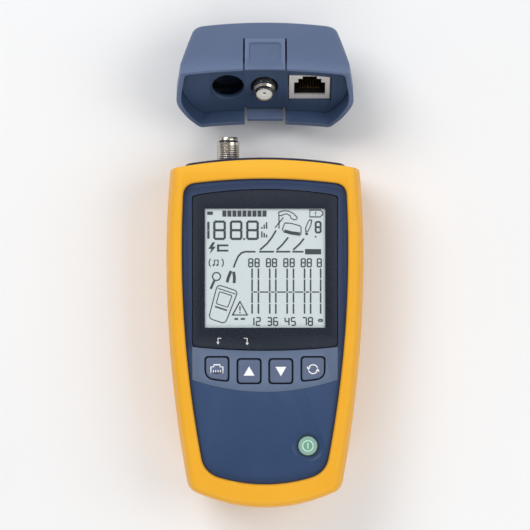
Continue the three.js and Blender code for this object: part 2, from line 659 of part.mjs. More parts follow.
// Plan outline of the adapter, taken in by inset: straight sides that close in towards the
// far end, which bows out. The lip's sides stay parallel inside the holster.
function capOutline(inset) {
  const half = OUTLINE.wide - (CAP.lipY - OUTLINE.wideY) ** 2 / (2 * OUTLINE.sideUp) - inset;
  const far = CAP.endHalf - Math.max(inset - CAP.skin, 0);
  const endY = CAP.endY - Math.max(inset - CAP.skin, 0);
  const side = endY - CAP.endDrop;
  const r = Math.max(CAP.corner - inset * 0.2, 1.5);
  const shoulder = v2(half, CAP.lipY + CAP.straight);
  const corner = v2(far, side);
  const before = corner.clone().add(shoulder.clone().sub(corner).setLength(r));
  const endEdge = (x) => endY - CAP.endDrop * (x / far) ** 2;
  const after = v2(far - r, endEdge(far - r));
  const middle = v2((half + before.x) / 2 + CAP.bulge, (shoulder.y + before.y) / 2);
  const right = [v2(half, IN_MOUTH), shoulder, middle, before, ...bend(before, corner, after, 4)];
  const steps = 4;
  for (let i = steps - 1; i > 0; i -= 1) {
    const x = (after.x * i) / steps;
    right.push(v2(x, endEdge(x)));
  }
  const left = [...right].reverse().map((p) => v2(-p.x, p.y));
  return [...right, v2(0, endY), ...left];
}

function capBody(skin) {
  return loft(levels(skin).map((z) => ({ z, outline: capOutline(skin + roundingAt(z, skin)) })));
}

// Block over one latch, grow wider than it on both sides.
function latchBlock(latch, grow, y0, y1, z0, z1) {
  return box(-latch.half - grow, latch.half + grow, y0, y1, z0, z1);
}

function addCapShells(parent) {
  const front0 = DEPTH - CAP.skin;
  const leadIn = prismX([
    v2(CAP.lipY - 4, front0 - LEAD_IN.front), v2(CAP.lipY, front0 - LEAD_IN.front),
    v2(CAP.lipY + LEAD_IN.length, front0 + 0.01), v2(CAP.lipY - 4, front0 + 1),
  ], -FAR, FAR);
  const whole = capBody(CAP.skin).subtract(belowArch(CAP.lipY)).subtract(leadIn);
  const inner = capBody(CAP.skin + CAP.wall);
  const shell = whole.subtract(inner);
  const above = box(-FAR, FAR, 0, FAR, CASE_SPLIT_Z + GAP / 2, FAR);
  const below = box(-FAR, FAR, 0, FAR, -FAR, CASE_SPLIT_Z - GAP / 2);
  const frontZ = DEPTH - CAP.skin - CAP.wall - LATCH_DEPTH;
  const rearZ = CAP.skin + CAP.wall + LATCH_DEPTH;
  let front = shell.intersect(above)
    .subtract(latchBlock(LATCH, LATCH.slot, IN_MOUTH, LATCH.root, frontZ, FAR));
  let rear = shell.intersect(below)
    .subtract(latchBlock(REAR_LATCH, REAR_LATCH.slot, IN_MOUTH, REAR_LATCH.root, -FAR, rearZ));
  const { frontPost, pilot, pilotDeep, rearPost, well, low, wellFloor } = CAP_SCREW;
  for (const side of [-1, 1]) {
    const rod = (r, z0, z1) => rodZ(CAP_SCREW.x * side, CAP_SCREW.y, r, z0, z1, 18);
    const frontWall = DEPTH - CAP.skin - CAP.wall + JOIN;
    front = front
      .add(whole.intersect(rod(frontPost, CASE_SPLIT_Z + GAP / 2, frontWall)))
      .subtract(rod(pilot, 0, CASE_SPLIT_Z + pilotDeep));
    rear = rear
      .add(whole.intersect(rod(rearPost, CAP.skin, CASE_SPLIT_Z - GAP / 2)))
      .subtract(rod(well, -FAR, low + wellFloor))
      .subtract(rod(pilot, 0, CASE_SPLIT_Z));
  }
  piece("adapter_front_shell", front, BLUE, parent);
  piece("adapter_rear_shell", rear, BLUE, parent);
  addLatches(shell, frontZ, rearZ, parent);
}

// The two spring latches, cut from the shell's own walls. The front one is dished for a
// thumb; both are thin where they reach over the port plate.
function addLatches(shell, frontZ, rearZ, parent) {
  const dishZ = DEPTH - CAP.skin - LATCH.dish;
  const thinEnd = CAP.faceY + 2 * CAP.plate;
  const front = shell
    .intersect(latchBlock(LATCH, 0, IN_MOUTH, LATCH.root - GAP, frontZ, DEPTH))
    .subtract(latchBlock(LATCH, -LATCH.dishSide, IN_MOUTH, LATCH.root - LATCH.dishEnd, dishZ, FAR))
    .subtract(box(-FAR, FAR, IN_MOUTH, thinEnd, 0, dishZ + LATCH.dish / 2 - LATCH.thin));
  piece("adapter_front_latch", front, BLUE, parent);
  const rear = shell
    .intersect(latchBlock(REAR_LATCH, 0, REAR_LATCH.tip, REAR_LATCH.root - GAP, 0, rearZ))
    .subtract(box(-FAR, FAR, IN_MOUTH, thinEnd, CAP.skin + REAR_LATCH.thin, FAR));
  piece("adapter_rear_latch", rear, BLUE, parent);
}

function addCapScrews(parent) {
  const { y, low, head, headTall, shank, reach, slotHalf, slotDeep } = CAP_SCREW;
  for (const [name, side] of [["adapter_screw_left", -1], ["adapter_screw_right", 1]]) {
    const x = CAP_SCREW.x * side;
    const screw = rodZ(x, y, head, low, low + headTall, 16)
      .add(rodZ(x, y, shank, low + headTall / 2, CASE_SPLIT_Z + reach, 12));
    const slot = box(x - 2 * head, x + 2 * head, y - slotHalf, y + slotHalf, 0, low + slotDeep);
    piece(name, screw.subtract(slot), STEEL, parent);
  }
}

function addPortPlate(parent) {
  const frontZ = DEPTH - CAP.skin - CAP.wall - GAP - LATCH_CLEAR;
  const rearZ = CAP.skin + CAP.wall + GAP + LATCH_CLEAR;
  const plate = capBody(CAP.skin + CAP.wall + GAP)
    .intersect(between(CAP.faceY, CAP.faceY + CAP.plate))
    .subtract(rodY(F_X, PORT_Z, HOLE_R, IN_MOUTH, FAR))
    .subtract(rodY(CAP_JACK_X, PORT_Z, CAP_JACK_HOLE_R, IN_MOUTH, FAR))
    .subtract(jackHole(CAP_RJ_X))
    .subtract(latchBlock(LATCH, LATCH_CLEAR, IN_MOUTH, FAR, frontZ, FAR))
    .subtract(latchBlock(REAR_LATCH, LATCH_CLEAR, IN_MOUTH, FAR, 0, rearZ));
  piece("adapter_port_plate", plate, DARK_BLUE, parent);
}

function addCapInside(parent) {
  const { y, thick, half, low, high, holeGap, tabHalf, tabLow } = CAP_BOARD;
  addFJack("adapter_f_jack", CAP_JACK_X, y - GAP, CAP.faceY - CAP_JACK_PROUD, -1, parent);
  const nutY = CAP.faceY + CAP.plate + GAP;
  addNut("adapter_f_jack_nut", CAP_JACK_X, nutY + 0.2, nutY + 0.2 + CAP_NUT_TALL, parent);
  const jackFace = CAP.faceY + archAt(CAP_RJ_X) + CAP_RJ_SUNK;
  addModularJack("adapter_rj45", CAP_RJ_X, jackFace, CAP_RJ_DEPTH, -1, parent);
  const jackHalf = RJ.w / 2 + GAP;
  const jackTop = PORT_Z + RJ.h / 2 + GAP;
  const board = box(-half, half, y, y + thick, low, high)
    .subtract(rodY(F_X, PORT_Z, HOLE_R + holeGap, IN_MOUTH, FAR))
    .subtract(box(CAP_RJ_X - jackHalf, CAP_RJ_X + jackHalf, IN_MOUTH, FAR, 0, jackTop))
    .add(box(PIVOT.x - tabHalf, PIVOT.x + tabHalf, y, y + thick, tabLow, PIVOT.z + 1));
  piece("adapter_board", board, BOARD_GREEN, parent);
}

function addAdapter() {
  const turned = new THREE.Group();
  turned.position.set(PIVOT.x, PIVOT.y + DRAWN.y, PIVOT.z + DRAWN.z);
  turned.rotation.x = THREE.MathUtils.degToRad(-TURN);
  const cap = new THREE.Group();
  cap.position.set(-PIVOT.x, -PIVOT.y, -PIVOT.z);
  turned.add(cap);
  part.add(turned);
  addCapShells(cap);
  addCapScrews(cap);
  addPortPlate(cap);
  addCapInside(cap);
  const { r, half } = RESISTOR;
  const resistor = rodX(PIVOT.y, PIVOT.z, r, PIVOT.x - half, PIVOT.x + half);
  piece("termination_resistor", resistor, TAN, cap);
}

piece("holster", makeHolster(), YELLOW);
addCase();
addEndPanel();
addFJack("f_jack", F_X, F_JACK_Y.base, F_JACK_Y.tip, 1, part);
const nutTop = PANEL.outer - PANEL.thick + archAt(F_X) - F_NUT.away;
addNut("f_jack_nut", F_X, nutTop - F_NUT.tall, nutTop, part);
addModularJack("rj45", RJ_X, PANEL.outer + archAt(RJ_X), RJ_DEPTH, 1, part);
addDisplay();
addBoard();
addKeys();
addBatteries();
addDoor();
addCaseScrews();
addAdapter();

export default part;
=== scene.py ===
"""Looks of a hand-held network cable tester in a rubber holster, with its plug-on wiremap adapter.

Lengths in this script are millimetres until a mesh is made; MM turns them into metres. The tester
lies on its back: +X to its right, +Y towards its connectors, +Z out of its display.
"""

import json
import math

import bmesh
import bpy
from mathutils import Matrix, Vector


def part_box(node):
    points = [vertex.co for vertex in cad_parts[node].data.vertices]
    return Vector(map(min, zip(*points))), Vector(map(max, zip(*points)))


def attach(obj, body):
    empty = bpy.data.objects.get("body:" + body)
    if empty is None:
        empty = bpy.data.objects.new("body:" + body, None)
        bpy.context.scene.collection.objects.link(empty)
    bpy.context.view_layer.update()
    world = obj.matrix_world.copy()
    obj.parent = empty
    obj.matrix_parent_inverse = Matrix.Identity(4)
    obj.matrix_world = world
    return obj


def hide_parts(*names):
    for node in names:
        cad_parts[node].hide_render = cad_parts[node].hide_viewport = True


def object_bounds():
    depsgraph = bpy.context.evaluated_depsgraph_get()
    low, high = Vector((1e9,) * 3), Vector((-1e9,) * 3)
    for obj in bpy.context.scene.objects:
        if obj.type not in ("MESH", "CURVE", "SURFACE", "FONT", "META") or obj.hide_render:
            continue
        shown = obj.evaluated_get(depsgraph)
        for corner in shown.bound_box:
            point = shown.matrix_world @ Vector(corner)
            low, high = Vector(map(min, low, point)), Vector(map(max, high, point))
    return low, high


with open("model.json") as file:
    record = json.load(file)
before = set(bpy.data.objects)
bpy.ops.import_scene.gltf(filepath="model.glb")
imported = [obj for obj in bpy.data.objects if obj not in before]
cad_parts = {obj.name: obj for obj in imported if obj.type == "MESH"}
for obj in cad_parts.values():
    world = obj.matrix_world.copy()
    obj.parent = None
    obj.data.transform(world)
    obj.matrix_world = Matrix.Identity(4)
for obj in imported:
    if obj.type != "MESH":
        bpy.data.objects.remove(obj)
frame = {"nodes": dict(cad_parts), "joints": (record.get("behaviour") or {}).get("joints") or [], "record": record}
cad_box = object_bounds()

MM = 0.001


# ---- The frame's own sizes ----

class Box:
    """Corners of a CAD node, in millimetres."""

    def __init__(self, node):
        low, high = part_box(node)
        self.low, self.high = low / MM, high / MM
        self.mid = (self.low + self.high) / 2
        self.size = self.high - self.low


JOINTS = {joint["name"]: joint for joint in frame["joints"]}
COUPLINGS = frame["record"]["behaviour"]["couplings"]

HOLSTER = Box("holster")
FRONT = Box("front_case")
REAR = Box("rear_case")
LENS = Box("display_lens")
MASK = Box("lens_mask")
GLASS = Box("lcd_glass")
DOOR = Box("battery_door")
F_JACK = Box("f_jack_barrel")
RJ45 = Box("rj45_shield")

DEPTH = HOLSTER.high.z
HOLSTER_WALL = 2.4
MOUTH_WALL = 1.6
CASE_SKIN = REAR.low.z
CASE_WALL = 1.9
NECK_SKIN = 4.9
GROOVE_Y = 61.9  # where the case steps in to its neck, inside the holster's mouth
END_Y = FRONT.high.y
FACE_Z = LENS.high.z
CASE_TOP = FRONT.high.z
SPLIT_Z = (FRONT.low.z + REAR.high.z) / 2
PORT_Z = F_JACK.mid.z

ARCH_DROP = 3.4
ARCH_HALF = 36.0
OUTLINE = dict(
    top=66.2, bottom=-68.8, rise=10.5, wide=38.2, wide_y=30.0,
    side_up=340.0, side_down=482.0, corner_top=5.0, corner_low=5.5,
)
HOLSTER_OUTLINE = dict(
    OUTLINE, top=HOLSTER.high.y, bottom=HOLSTER.low.y, rise=12.4, wide=HOLSTER.high.x,
    corner_top=3.2, corner_low=3.0,
)
WINDOW = dict(
    top=59.7, bottom=-58.6, rise=8.7, wide=32.2, wide_y=32.0,
    side_up=420.0, side_down=428.0, corner_top=4.2, corner_low=5.5,
)
WINDOW_ARCH = 3.0
BACK_ROUND = dict(inward=12.0, along=17.0, lean=0.6)  # rounding from the flank to the back
FRONT_ROUND = 1.6
BOOT_FRONT_ROUND = 2.6
RIDGE_SOFT = 3.2  # how far up and down the flank's ridge is eased
TAPER = dict(low=19.0, high=33.0, inward=2.0)

CAP = dict(
    skin=1.95, wall=1.8, lip=62.4, face=68.4, plate=2.0, end=89.8, end_drop=2.5, end_half=29.7,
    corner=4.2, bulge=0.1,
)
CAP_JACK_X = -0.25  # the adapter's F jack, and the recess it sits in when docked
FRONT_LATCH = dict(half=7.7, slot=0.8, root=78.2)
REAR_LATCH = dict(half=7.0, slot=1.1, root=76.4, tip=64.2)
LCD = dict(half=23.3, low=2.0, high=48.1)
HOLE_R = 6.2  # hole in the adapter's plate that clears the tester's F jack
KEYS = dict(port_key=-1, up_key=0, down_key=0, mode_key=1)  # the side with a slanted corner
KEY = dict(half_w=4.55, half_h=4.75, flange=0.9, slant=1.1, corner=1.5)
LENS_BOW = dict(top=2.4, low=1.4, corner=1.6)
BAND = dict(side=-18.2, middle=-22.9)

AIR = 0.3  # gap between neighbouring pieces
LOW, HIGH = 20.0, 60.0  # heights from under the face to well over it, for cutting tools


def adapter_place():
    """Matrix from the adapter's plugged-on place, in which it is built, to where it rests."""
    pull, turn = JOINTS["adapter_pull"], JOINTS["adapter_turn"]
    stroke = pull["range_m"][0]
    ratio = next(c["ratio"] for c in COUPLINGS if c["joint"] == "adapter_turn")
    pin = Vector(turn["pos_m"])
    docked_pin = pin + Vector(pull["axis"]) * stroke
    return (
        Matrix.Translation(pin)
        @ Matrix.Rotation(-ratio * stroke, 4, Vector(turn["axis"]))
        @ Matrix.Translation(-docked_pin)
    )


ADAPTER = adapter_place()
ALONG_X = Matrix(((0, 0, 1, 0), (1, 0, 0, 0), (0, 1, 0, 0), (0, 0, 0, 1)))  # turns a (y, z) profile


# ---- Materials ----

class Nodes:
    """A material's node tree, with one call for each kind of node that this script uses."""

    def __init__(self, name):
        self.material = bpy.data.materials.new(name)
        self.material.use_nodes = True
        self.tree = self.material.node_tree
        self.shader = self.tree.nodes["Principled BSDF"]
        self.coords = self.tree.nodes.new("ShaderNodeTexCoord").outputs["Object"]

    def feed(self, socket, value):
        """Gives a socket a number, a colour or another node's output."""
        if hasattr(value, "is_output"):
            self.tree.links.new(value, socket)
        else:
            socket.default_value = value

    def add(self, kind, **inputs):
        node = self.tree.nodes.new("ShaderNode" + kind)
        for name, value in inputs.items():
            self.feed(node.inputs[name.replace("_", " ")], value)
        return node

    def set(self, **values):
        for name, value in values.items():
            self.feed(self.shader.inputs[name.replace("_", " ")], value)

    def noise(self, scale, detail=4.0):
        node = self.add("TexNoise", Vector=self.coords, Scale=scale, Detail=detail, Roughness=0.6)
        return node.outputs["Fac"]

    def cells(self, scale, feature="F1"):
        node = self.add("TexVoronoi", Vector=self.coords, Scale=scale)
        node.feature = feature
        return node.outputs["Distance"]

    def streaks(self, scale, stretch):
        mapping = self.add("Mapping", Vector=self.coords, Scale=stretch)
        node = self.add("TexNoise", Vector=mapping.outputs["Vector"], Scale=scale, Detail=6.0)
        return node.outputs["Fac"]

    def ramp(self, value, low, high):
        node = self.add("ValToRGB", Fac=value)
        for element, at, color in zip(node.color_ramp.elements, (0.3, 0.7), (low, high)):
            element.position = at
            element.color = (*color, 1)
        return node.outputs["Color"]

    def spread(self, value, low, high, from_low=0.3, from_high=0.7):
        node = self.add("MapRange", Value=value, From_Min=from_low, From_Max=from_high,
                        To_Min=low, To_Max=high)
        return node.outputs["Result"]

    def mix(self, factor, a, b):
        node = self.add("Mix")
        node.data_type = "RGBA"
        for index, value in ((0, factor), (6, a), (7, b)):
            self.feed(node.inputs[index], (*value, 1) if isinstance(value, tuple) else value)
        return node.outputs[2]

    def edges(self, low, high):
        """How much lighter the outward corners are."""
        return self.spread(self.add("NewGeometry").outputs["Pointiness"], 0.0, 1.0, low, high)

    def bump(self, height, strength, distance, round_edges=0.0):
        node = self.add("Bump", Strength=strength, Distance=distance * MM, Height=height)
        if round_edges:
            bevel = self.add("Bevel", Radius=round_edges * MM)
            bevel.samples = 4
            self.feed(node.inputs["Normal"], bevel.outputs["Normal"])
        self.set(Normal=node.outputs["Normal"])


def moulded(name, color, light, dark, grain=2600.0, rough=(0.42, 0.56), depth=0.05, round_edges=0.3,
            dust=0.25):
    """Moulded plastic or rubber: fine spark-erosion grain, cloudy colour and slightly lighter outward corners."""
    m = Nodes(name)
    cloud = m.noise(38.0, detail=5.0)
    base = m.ramp(cloud, dark, light)
    base = m.mix(0.55, base, color)
    # Outward corners a little lighter.
    lighter_corners = m.mix(m.edges(0.51, 0.60), base, tuple(min(1.0, c * 1.18 + 0.02) for c in color))
    specks = m.spread(m.noise(900.0, detail=2.0), 0.0, dust, 0.62, 0.78)
    m.set(Base_Color=m.mix(specks, lighter_corners, tuple(min(1.0, c * 1.25 + 0.03) for c in color)))
    m.set(Roughness=m.spread(m.noise(120.0), *rough), Specular_IOR_Level=0.4)
    m.bump(m.mix(0.5, m.noise(grain, detail=2.0), m.cells(grain * 0.7)), 0.35, depth, round_edges)
    return m.material


def metal(name, color, rough, stretch, tarnish, round_edges=0.12, metallic=1.0):
    """Plated or machined metal with fine tool streaks and faint tarnish."""
    m = Nodes(name)
    stain = m.noise(240.0, detail=5.0)
    m.set(Base_Color=m.mix(m.spread(stain, 0.0, 0.6, 0.45, 0.75), color, tarnish))
    streaks = m.streaks(900.0, stretch)
    m.set(Roughness=m.spread(streaks, *rough), Metallic=metallic)
    m.bump(streaks, 0.15, 0.02, round_edges)
    return m.material


def make_materials():
    made = {
        "holster": moulded("holster_rubber", (0.92, 0.435, 0.014), (0.95, 0.462, 0.020),
                           (0.87, 0.398, 0.010), grain=1800.0, rough=(0.44, 0.58), depth=0.06,
                           round_edges=0.55, dust=0.12),
        "blue": moulded("case_blue", (0.019, 0.052, 0.138), (0.024, 0.060, 0.154), (0.015, 0.044, 0.120)),
        "band": moulded("band_blue", (0.105, 0.145, 0.235), (0.120, 0.162, 0.255), (0.090, 0.128, 0.212)),
        "surround": moulded("surround_blue", (0.014, 0.032, 0.092), (0.018, 0.038, 0.105),
                            (0.010, 0.026, 0.078)),
        "cap_blue": moulded("adapter_blue", (0.105, 0.150, 0.260), (0.120, 0.166, 0.282),
                            (0.090, 0.132, 0.235), round_edges=0.2),
        "dark": moulded("panel_dark", (0.034, 0.066, 0.138), (0.040, 0.075, 0.154), (0.028, 0.056, 0.120),
                        rough=(0.5, 0.62)),
        # Darker blue for the adapter shell's inner walls: painted shade inside its mouth.
        "inside": moulded("inside_painted_shade", (0.036, 0.068, 0.142), (0.042, 0.077, 0.158), (0.030, 0.058, 0.124),
                          rough=(0.5, 0.62)),
        "key": moulded("key_rubber", (0.115, 0.150, 0.245), (0.130, 0.168, 0.268), (0.100, 0.132, 0.222),
                       grain=2200.0, rough=(0.48, 0.6), round_edges=0.25),
        "mint": moulded("mint_print", (0.48, 0.76, 0.62), (0.52, 0.80, 0.66), (0.44, 0.71, 0.58),
                        depth=0.01),
        "green_mid": moulded("key_green_low", (0.14, 0.31, 0.22), (0.16, 0.34, 0.25), (0.12, 0.28, 0.20)),
        "green": moulded("key_green", (0.27, 0.44, 0.37), (0.30, 0.48, 0.41), (0.23, 0.39, 0.33),
                         grain=2200.0, rough=(0.40, 0.52), round_edges=0.25),
        "green_dark": moulded("key_ring", (0.004, 0.030, 0.036), (0.006, 0.036, 0.042),
                              (0.003, 0.024, 0.030)),
        # Near-black navy, used for the keypad mat and as painted shade on the neck, in the key gaps and round the
        # window.
        "groove": moulded("navy_and_painted_shade", (0.008, 0.014, 0.045), (0.010, 0.018, 0.055),
                          (0.006, 0.011, 0.038)),
        "ink": moulded("lens_ink", (0.010, 0.015, 0.028), (0.012, 0.018, 0.033), (0.008, 0.012, 0.024),
                       rough=(0.22, 0.3), depth=0.01, round_edges=0.1, dust=0.05),
        "black": moulded("black_plastic", (0.012, 0.012, 0.013), (0.016, 0.016, 0.017),
                         (0.009, 0.009, 0.010)),
        "white": moulded("white_polymer", (0.78, 0.77, 0.73), (0.82, 0.81, 0.78), (0.72, 0.71, 0.67),
                         rough=(0.3, 0.42), round_edges=0.15),
        "print": moulded("white_print", (0.86, 0.87, 0.88), (0.88, 0.89, 0.90), (0.82, 0.83, 0.85),
                         rough=(0.5, 0.6), depth=0.01, round_edges=0.0),
        "segment": moulded("lcd_segment", (0.045, 0.058, 0.066), (0.055, 0.070, 0.078),
                           (0.036, 0.048, 0.055), rough=(0.35, 0.45), depth=0.005, round_edges=0.0),
        "nickel": metal("nickel", (0.58, 0.53, 0.46), (0.14, 0.26), (9.0, 0.2, 9.0), (0.32, 0.28, 0.23)),
        "shield": metal("shield_tin", (0.90, 0.86, 0.83), (0.38, 0.52), (1.0, 6.0, 1.0), (0.78, 0.73, 0.70),
                        metallic=0.3),
        "steel": metal("zinc_steel", (0.55, 0.56, 0.58), (0.28, 0.42), (4.0, 4.0, 1.0), (0.42, 0.41, 0.38)),
        "gold": metal("gold_flash", (0.86, 0.62, 0.24), (0.18, 0.3), (1.0, 5.0, 1.0), (0.70, 0.48, 0.18)),
    }
    made["lcd"] = lcd_material()
    made["lens"] = lens_material()
    made["board"] = board_material("solder_mask", (0.03, 0.17, 0.07), (0.016, 0.10, 0.04))
    made["black_board"] = board_material("black_mask", (0.010, 0.013, 0.012), (0.005, 0.007, 0.006))
    made["cell"] = cell_material()
    made["resistor"] = moulded("resistor_body", (0.55, 0.40, 0.22), (0.6, 0.45, 0.26), (0.48, 0.34, 0.18))
    return made


def lcd_material():
    """Pale liquid crystal: a blue-grey film with a faint pixel sheen and uneven backlight."""
    m = Nodes("lcd_film")
    glow = m.noise(22.0, detail=2.0)
    film = m.ramp(glow, (0.80, 0.90, 0.92), (0.86, 0.94, 0.96))
    fine = m.spread(m.cells(4200.0), 0.0, 0.08, 0.0, 0.8)
    m.set(Base_Color=m.mix(fine, film, (0.72, 0.82, 0.85)))
    m.set(Roughness=m.spread(m.noise(300.0), 0.28, 0.4))
    m.bump(m.noise(3000.0), 0.1, 0.01)
    return m.material


def lens_material():
    """Clear acrylic window with faint wiping marks."""
    m = Nodes("clear_acrylic")
    m.set(Base_Color=(0.035, 0.045, 0.06, 1))
    m.set(Roughness=m.spread(m.streaks(160.0, (1.0, 7.0, 1.0)), 0.08, 0.18))
    m.set(Alpha=0.06, IOR=1.49, Coat_Weight=0.5, Coat_Roughness=0.05)
    m.material.blend_method = "BLEND"
    return m.material


def board_material(name, over_copper, bare):
    """Solder mask over a pattern of copper."""
    m = Nodes(name)
    copper = m.spread(m.cells(420.0, "DISTANCE_TO_EDGE"), 0.0, 1.0, 0.03, 0.05)
    m.set(Base_Color=m.mix(copper, over_copper, bare))
    m.set(Roughness=m.spread(m.noise(200.0), 0.25, 0.4))
    m.bump(copper, 0.2, 0.04)
    return m.material


def cell_material():
    """Printed sleeve of a dry cell, with a copper-coloured band at one end."""
    m = Nodes("cell_sleeve")
    split = m.add("SeparateXYZ", Vector=m.coords)
    band = m.spread(split.outputs["Y"], 0.0, 1.0, -0.0201, -0.0200)
    m.set(Base_Color=m.mix(band, (0.02, 0.02, 0.023), (0.55, 0.27, 0.10)))
    m.set(Roughness=m.spread(m.noise(180.0), 0.25, 0.38))
    m.bump(m.noise(900.0), 0.1, 0.02)
    return m.material


LOOKS = make_materials()


# ---- Meshes ----

def make(name, points, faces, look, smooth=32.0, place=None):
    """New object from points in millimetres. smooth is the angle below which edges look smooth."""
    mesh = bpy.data.meshes.new(name)
    mesh.from_pydata([Vector(p) * MM for p in points], [], faces)
    if place is not None:
        mesh.transform(place)
    obj = bpy.data.objects.new(name, mesh)
    bpy.context.scene.collection.objects.link(obj)
    obj.data.materials.append(LOOKS[look])
    tidy(obj, smooth)
    return obj


def tidy(obj, smooth=32.0):
    """Merges doubled points, points faces outwards and smooths all edges flatter than smooth."""
    bm = bmesh.new()
    bm.from_mesh(obj.data)
    bmesh.ops.remove_doubles(bm, verts=bm.verts, dist=1e-3 * MM)
    bmesh.ops.recalc_face_normals(bm, faces=bm.faces)
    bm.to_mesh(obj.data)
    bm.free()
    obj.data.shade_smooth()
    obj.data.set_sharp_from_angle(angle=math.radians(smooth))
    return obj


def ring_faces(rings, count, close_ends=True):
    faces = []
    for r in range(rings - 1):
        for i in range(count):
            a, b = r * count + i, r * count + (i + 1) % count
            faces.append((a, b, b + count, a + count))
    if close_ends:
        faces.append(tuple(range(count))[::-1])
        faces.append(tuple((rings - 1) * count + i for i in range(count)))
    return faces


def loft(name, sections, look="black", smooth=32.0, place=None):
    """Closed skin through (outline, height) sections of equal point count."""
    points = [(x, y, z) for outline, z in sections for x, y in outline]
    return make(name, points, ring_faces(len(sections), len(sections[0][0])), look, smooth, place)


def prism(name, outline, low, high, look="black", place=None):
    return loft(name, [(outline, low), (outline, high)], look, place=place)


def cushion(name, shape, low, high, look, edge=0.4, steps=4, place=None, smooth=40.0):
    """Plate whose top edge is rounded: shape(inset) gives its outline taken in by inset."""
    sections = [(shape(0.0), low)]
    for i in range(steps + 1):
        a = math.radians(90.0 * i / steps)
        sections.append((shape(edge * (1 - math.cos(a))), high - edge + edge * math.sin(a)))
    return loft(name, sections, look, smooth, place)


def block(low, high, name="block", look="black", place=None):
    outline = [(low[0], low[1]), (high[0], low[1]), (high[0], high[1]), (low[0], high[1])]
    return prism(name, outline, low[2], high[2], look, place)


def boolean(obj, tool, operation, materials="INDEX"):
    modifier = obj.modifiers.new("boolean", "BOOLEAN")
    modifier.operation = operation
    modifier.solver = "EXACT"
    modifier.material_mode = materials
    modifier.object = tool
    apply_modifiers(obj)
    bpy.data.objects.remove(tool, do_unlink=True)
    return obj


def cut(obj, *tools, join=False, keep_look=False):
    """Cuts tools out of obj, or joins them to it. keep_look leaves the tools' look on their faces."""
    for tool in tools:
        boolean(obj, tool, "UNION" if join else "DIFFERENCE", "TRANSFER" if keep_look else "INDEX")
    return obj


def keep_inside(obj, tool):
    return boolean(obj, tool, "INTERSECT")


def apply_modifiers(obj):
    graph = bpy.context.evaluated_depsgraph_get()
    mesh = bpy.data.meshes.new_from_object(obj.evaluated_get(graph))
    obj.modifiers.clear()
    old = obj.data
    obj.data = mesh
    bpy.data.meshes.remove(old)


def circle(x, y, radius, around=64):
    angles = [2 * math.pi * i / around for i in range(around)]
    return [(x + radius * math.cos(a), y + radius * math.sin(a)) for a in angles]


def lathe(name, profile, axis_x, look, around=64, smooth=35.0, place=None, close_ends=True):
    """Turned piece about an axis along Y at the ports' height. profile: (y, radius) from end to end."""
    points = [(x, y, z) for y, radius in profile for x, z in circle(axis_x, PORT_Z, radius, around)]
    return make(name, points, ring_faces(len(profile), around, close_ends), look, smooth, place)


def turned(name, profile, x, y, look="black", smooth=35.0):
    """Turned piece about an axis along Z. profile: (z, radius) from end to end."""
    return loft(name, [(circle(x, y, radius), z) for z, radius in profile], look, smooth)


def copy_of(obj, name):
    twin = obj.copy()
    twin.data = obj.data.copy()
    twin.name = name
    bpy.context.scene.collection.objects.link(twin)
    return twin


def one_look(obj, look):
    obj.data.materials.clear()
    obj.data.materials.append(LOOKS[look])


def finish_piece(obj, rides_on, slot, *nodes):
    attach(obj, rides_on)
    if nodes:
        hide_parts(*nodes)


def finish_cut(obj, rides_on, slot, *nodes):
    """Finishes a piece that booleans have cut."""
    finish_piece(tidy(obj), rides_on, slot, *nodes)


# ---- Outlines ----

def arch(x, drop=ARCH_DROP):
    return -drop * (x / ARCH_HALF) ** 2


def bend(start, via, end, steps):
    points = []
    for i in range(1, steps + 1):
        t = i / steps
        points.append(tuple(
            (1 - t) ** 2 * s + 2 * t * (1 - t) * v + t * t * e for s, v, e in zip(start, via, end)
        ))
    return points


def barrel(shape, drop, inset=0.0, above=0.0, across=18, corner=8, up=36):
    """Barrel outline, counter-clockwise, taken in by inset all round."""
    top, bottom = shape["top"] - inset + above, shape["bottom"] + inset

    def side(y):
        bulge = shape["side_up"] if y > shape["wide_y"] else shape["side_down"]
        return shape["wide"] - inset - (y - shape["wide_y"]) ** 2 / (2 * bulge)

    def top_edge(x):
        return top + arch(x, drop)

    def low_edge(x):
        return bottom + shape["rise"] * (x / shape["wide"]) ** 2

    high_corner = (side(top), top_edge(side(top)))
    low_corner = (side(bottom), low_edge(side(bottom)))
    for _ in range(4):
        high_corner = (side(high_corner[1]), top_edge(side(high_corner[1])))
        low_corner = (side(low_corner[1]), low_edge(side(low_corner[1])))
    r_top = max(shape["corner_top"] - inset * 0.3, 1)
    r_low = max(shape["corner_low"] - inset * 0.3, 1)
    low_start = (low_corner[0] - r_low, low_edge(low_corner[0] - r_low))
    low_end = (side(low_corner[1] + r_low), low_corner[1] + r_low)
    top_start = (side(high_corner[1] - r_top), high_corner[1] - r_top)
    top_end = (high_corner[0] - r_top, top_edge(high_corner[0] - r_top))
    half = [(low_start[0] * i / across, low_edge(low_start[0] * i / across)) for i in range(across + 1)]
    half += bend(low_start, low_corner, low_end, corner)
    for i in range(1, up + 1):
        y = low_end[1] + (top_start[1] - low_end[1]) * i / up
        half.append((side(y), y))
    half += bend(top_start, high_corner, top_end, corner)
    half += [(top_end[0] * i / across, top_edge(top_end[0] * i / across)) for i in range(across - 1, -1, -1)]
    return half + [(-x, y) for x, y in half[-2:0:-1]]


def raw_inset(z, skin):
    back = (BACK_ROUND["inward"] - skin, BACK_ROUND["along"] - skin)
    low = max((skin + back[1] - z) / back[1], 0)
    taper = min(max((z - TAPER["low"]) / (TAPER["high"] - TAPER["low"]), 0), 1)
    curl = 1 - math.sqrt(max(1 - low * low, 0))
    lean = BACK_ROUND["lean"]
    return back[0] * (lean * low + (1 - lean) * curl) + TAPER["inward"] * taper


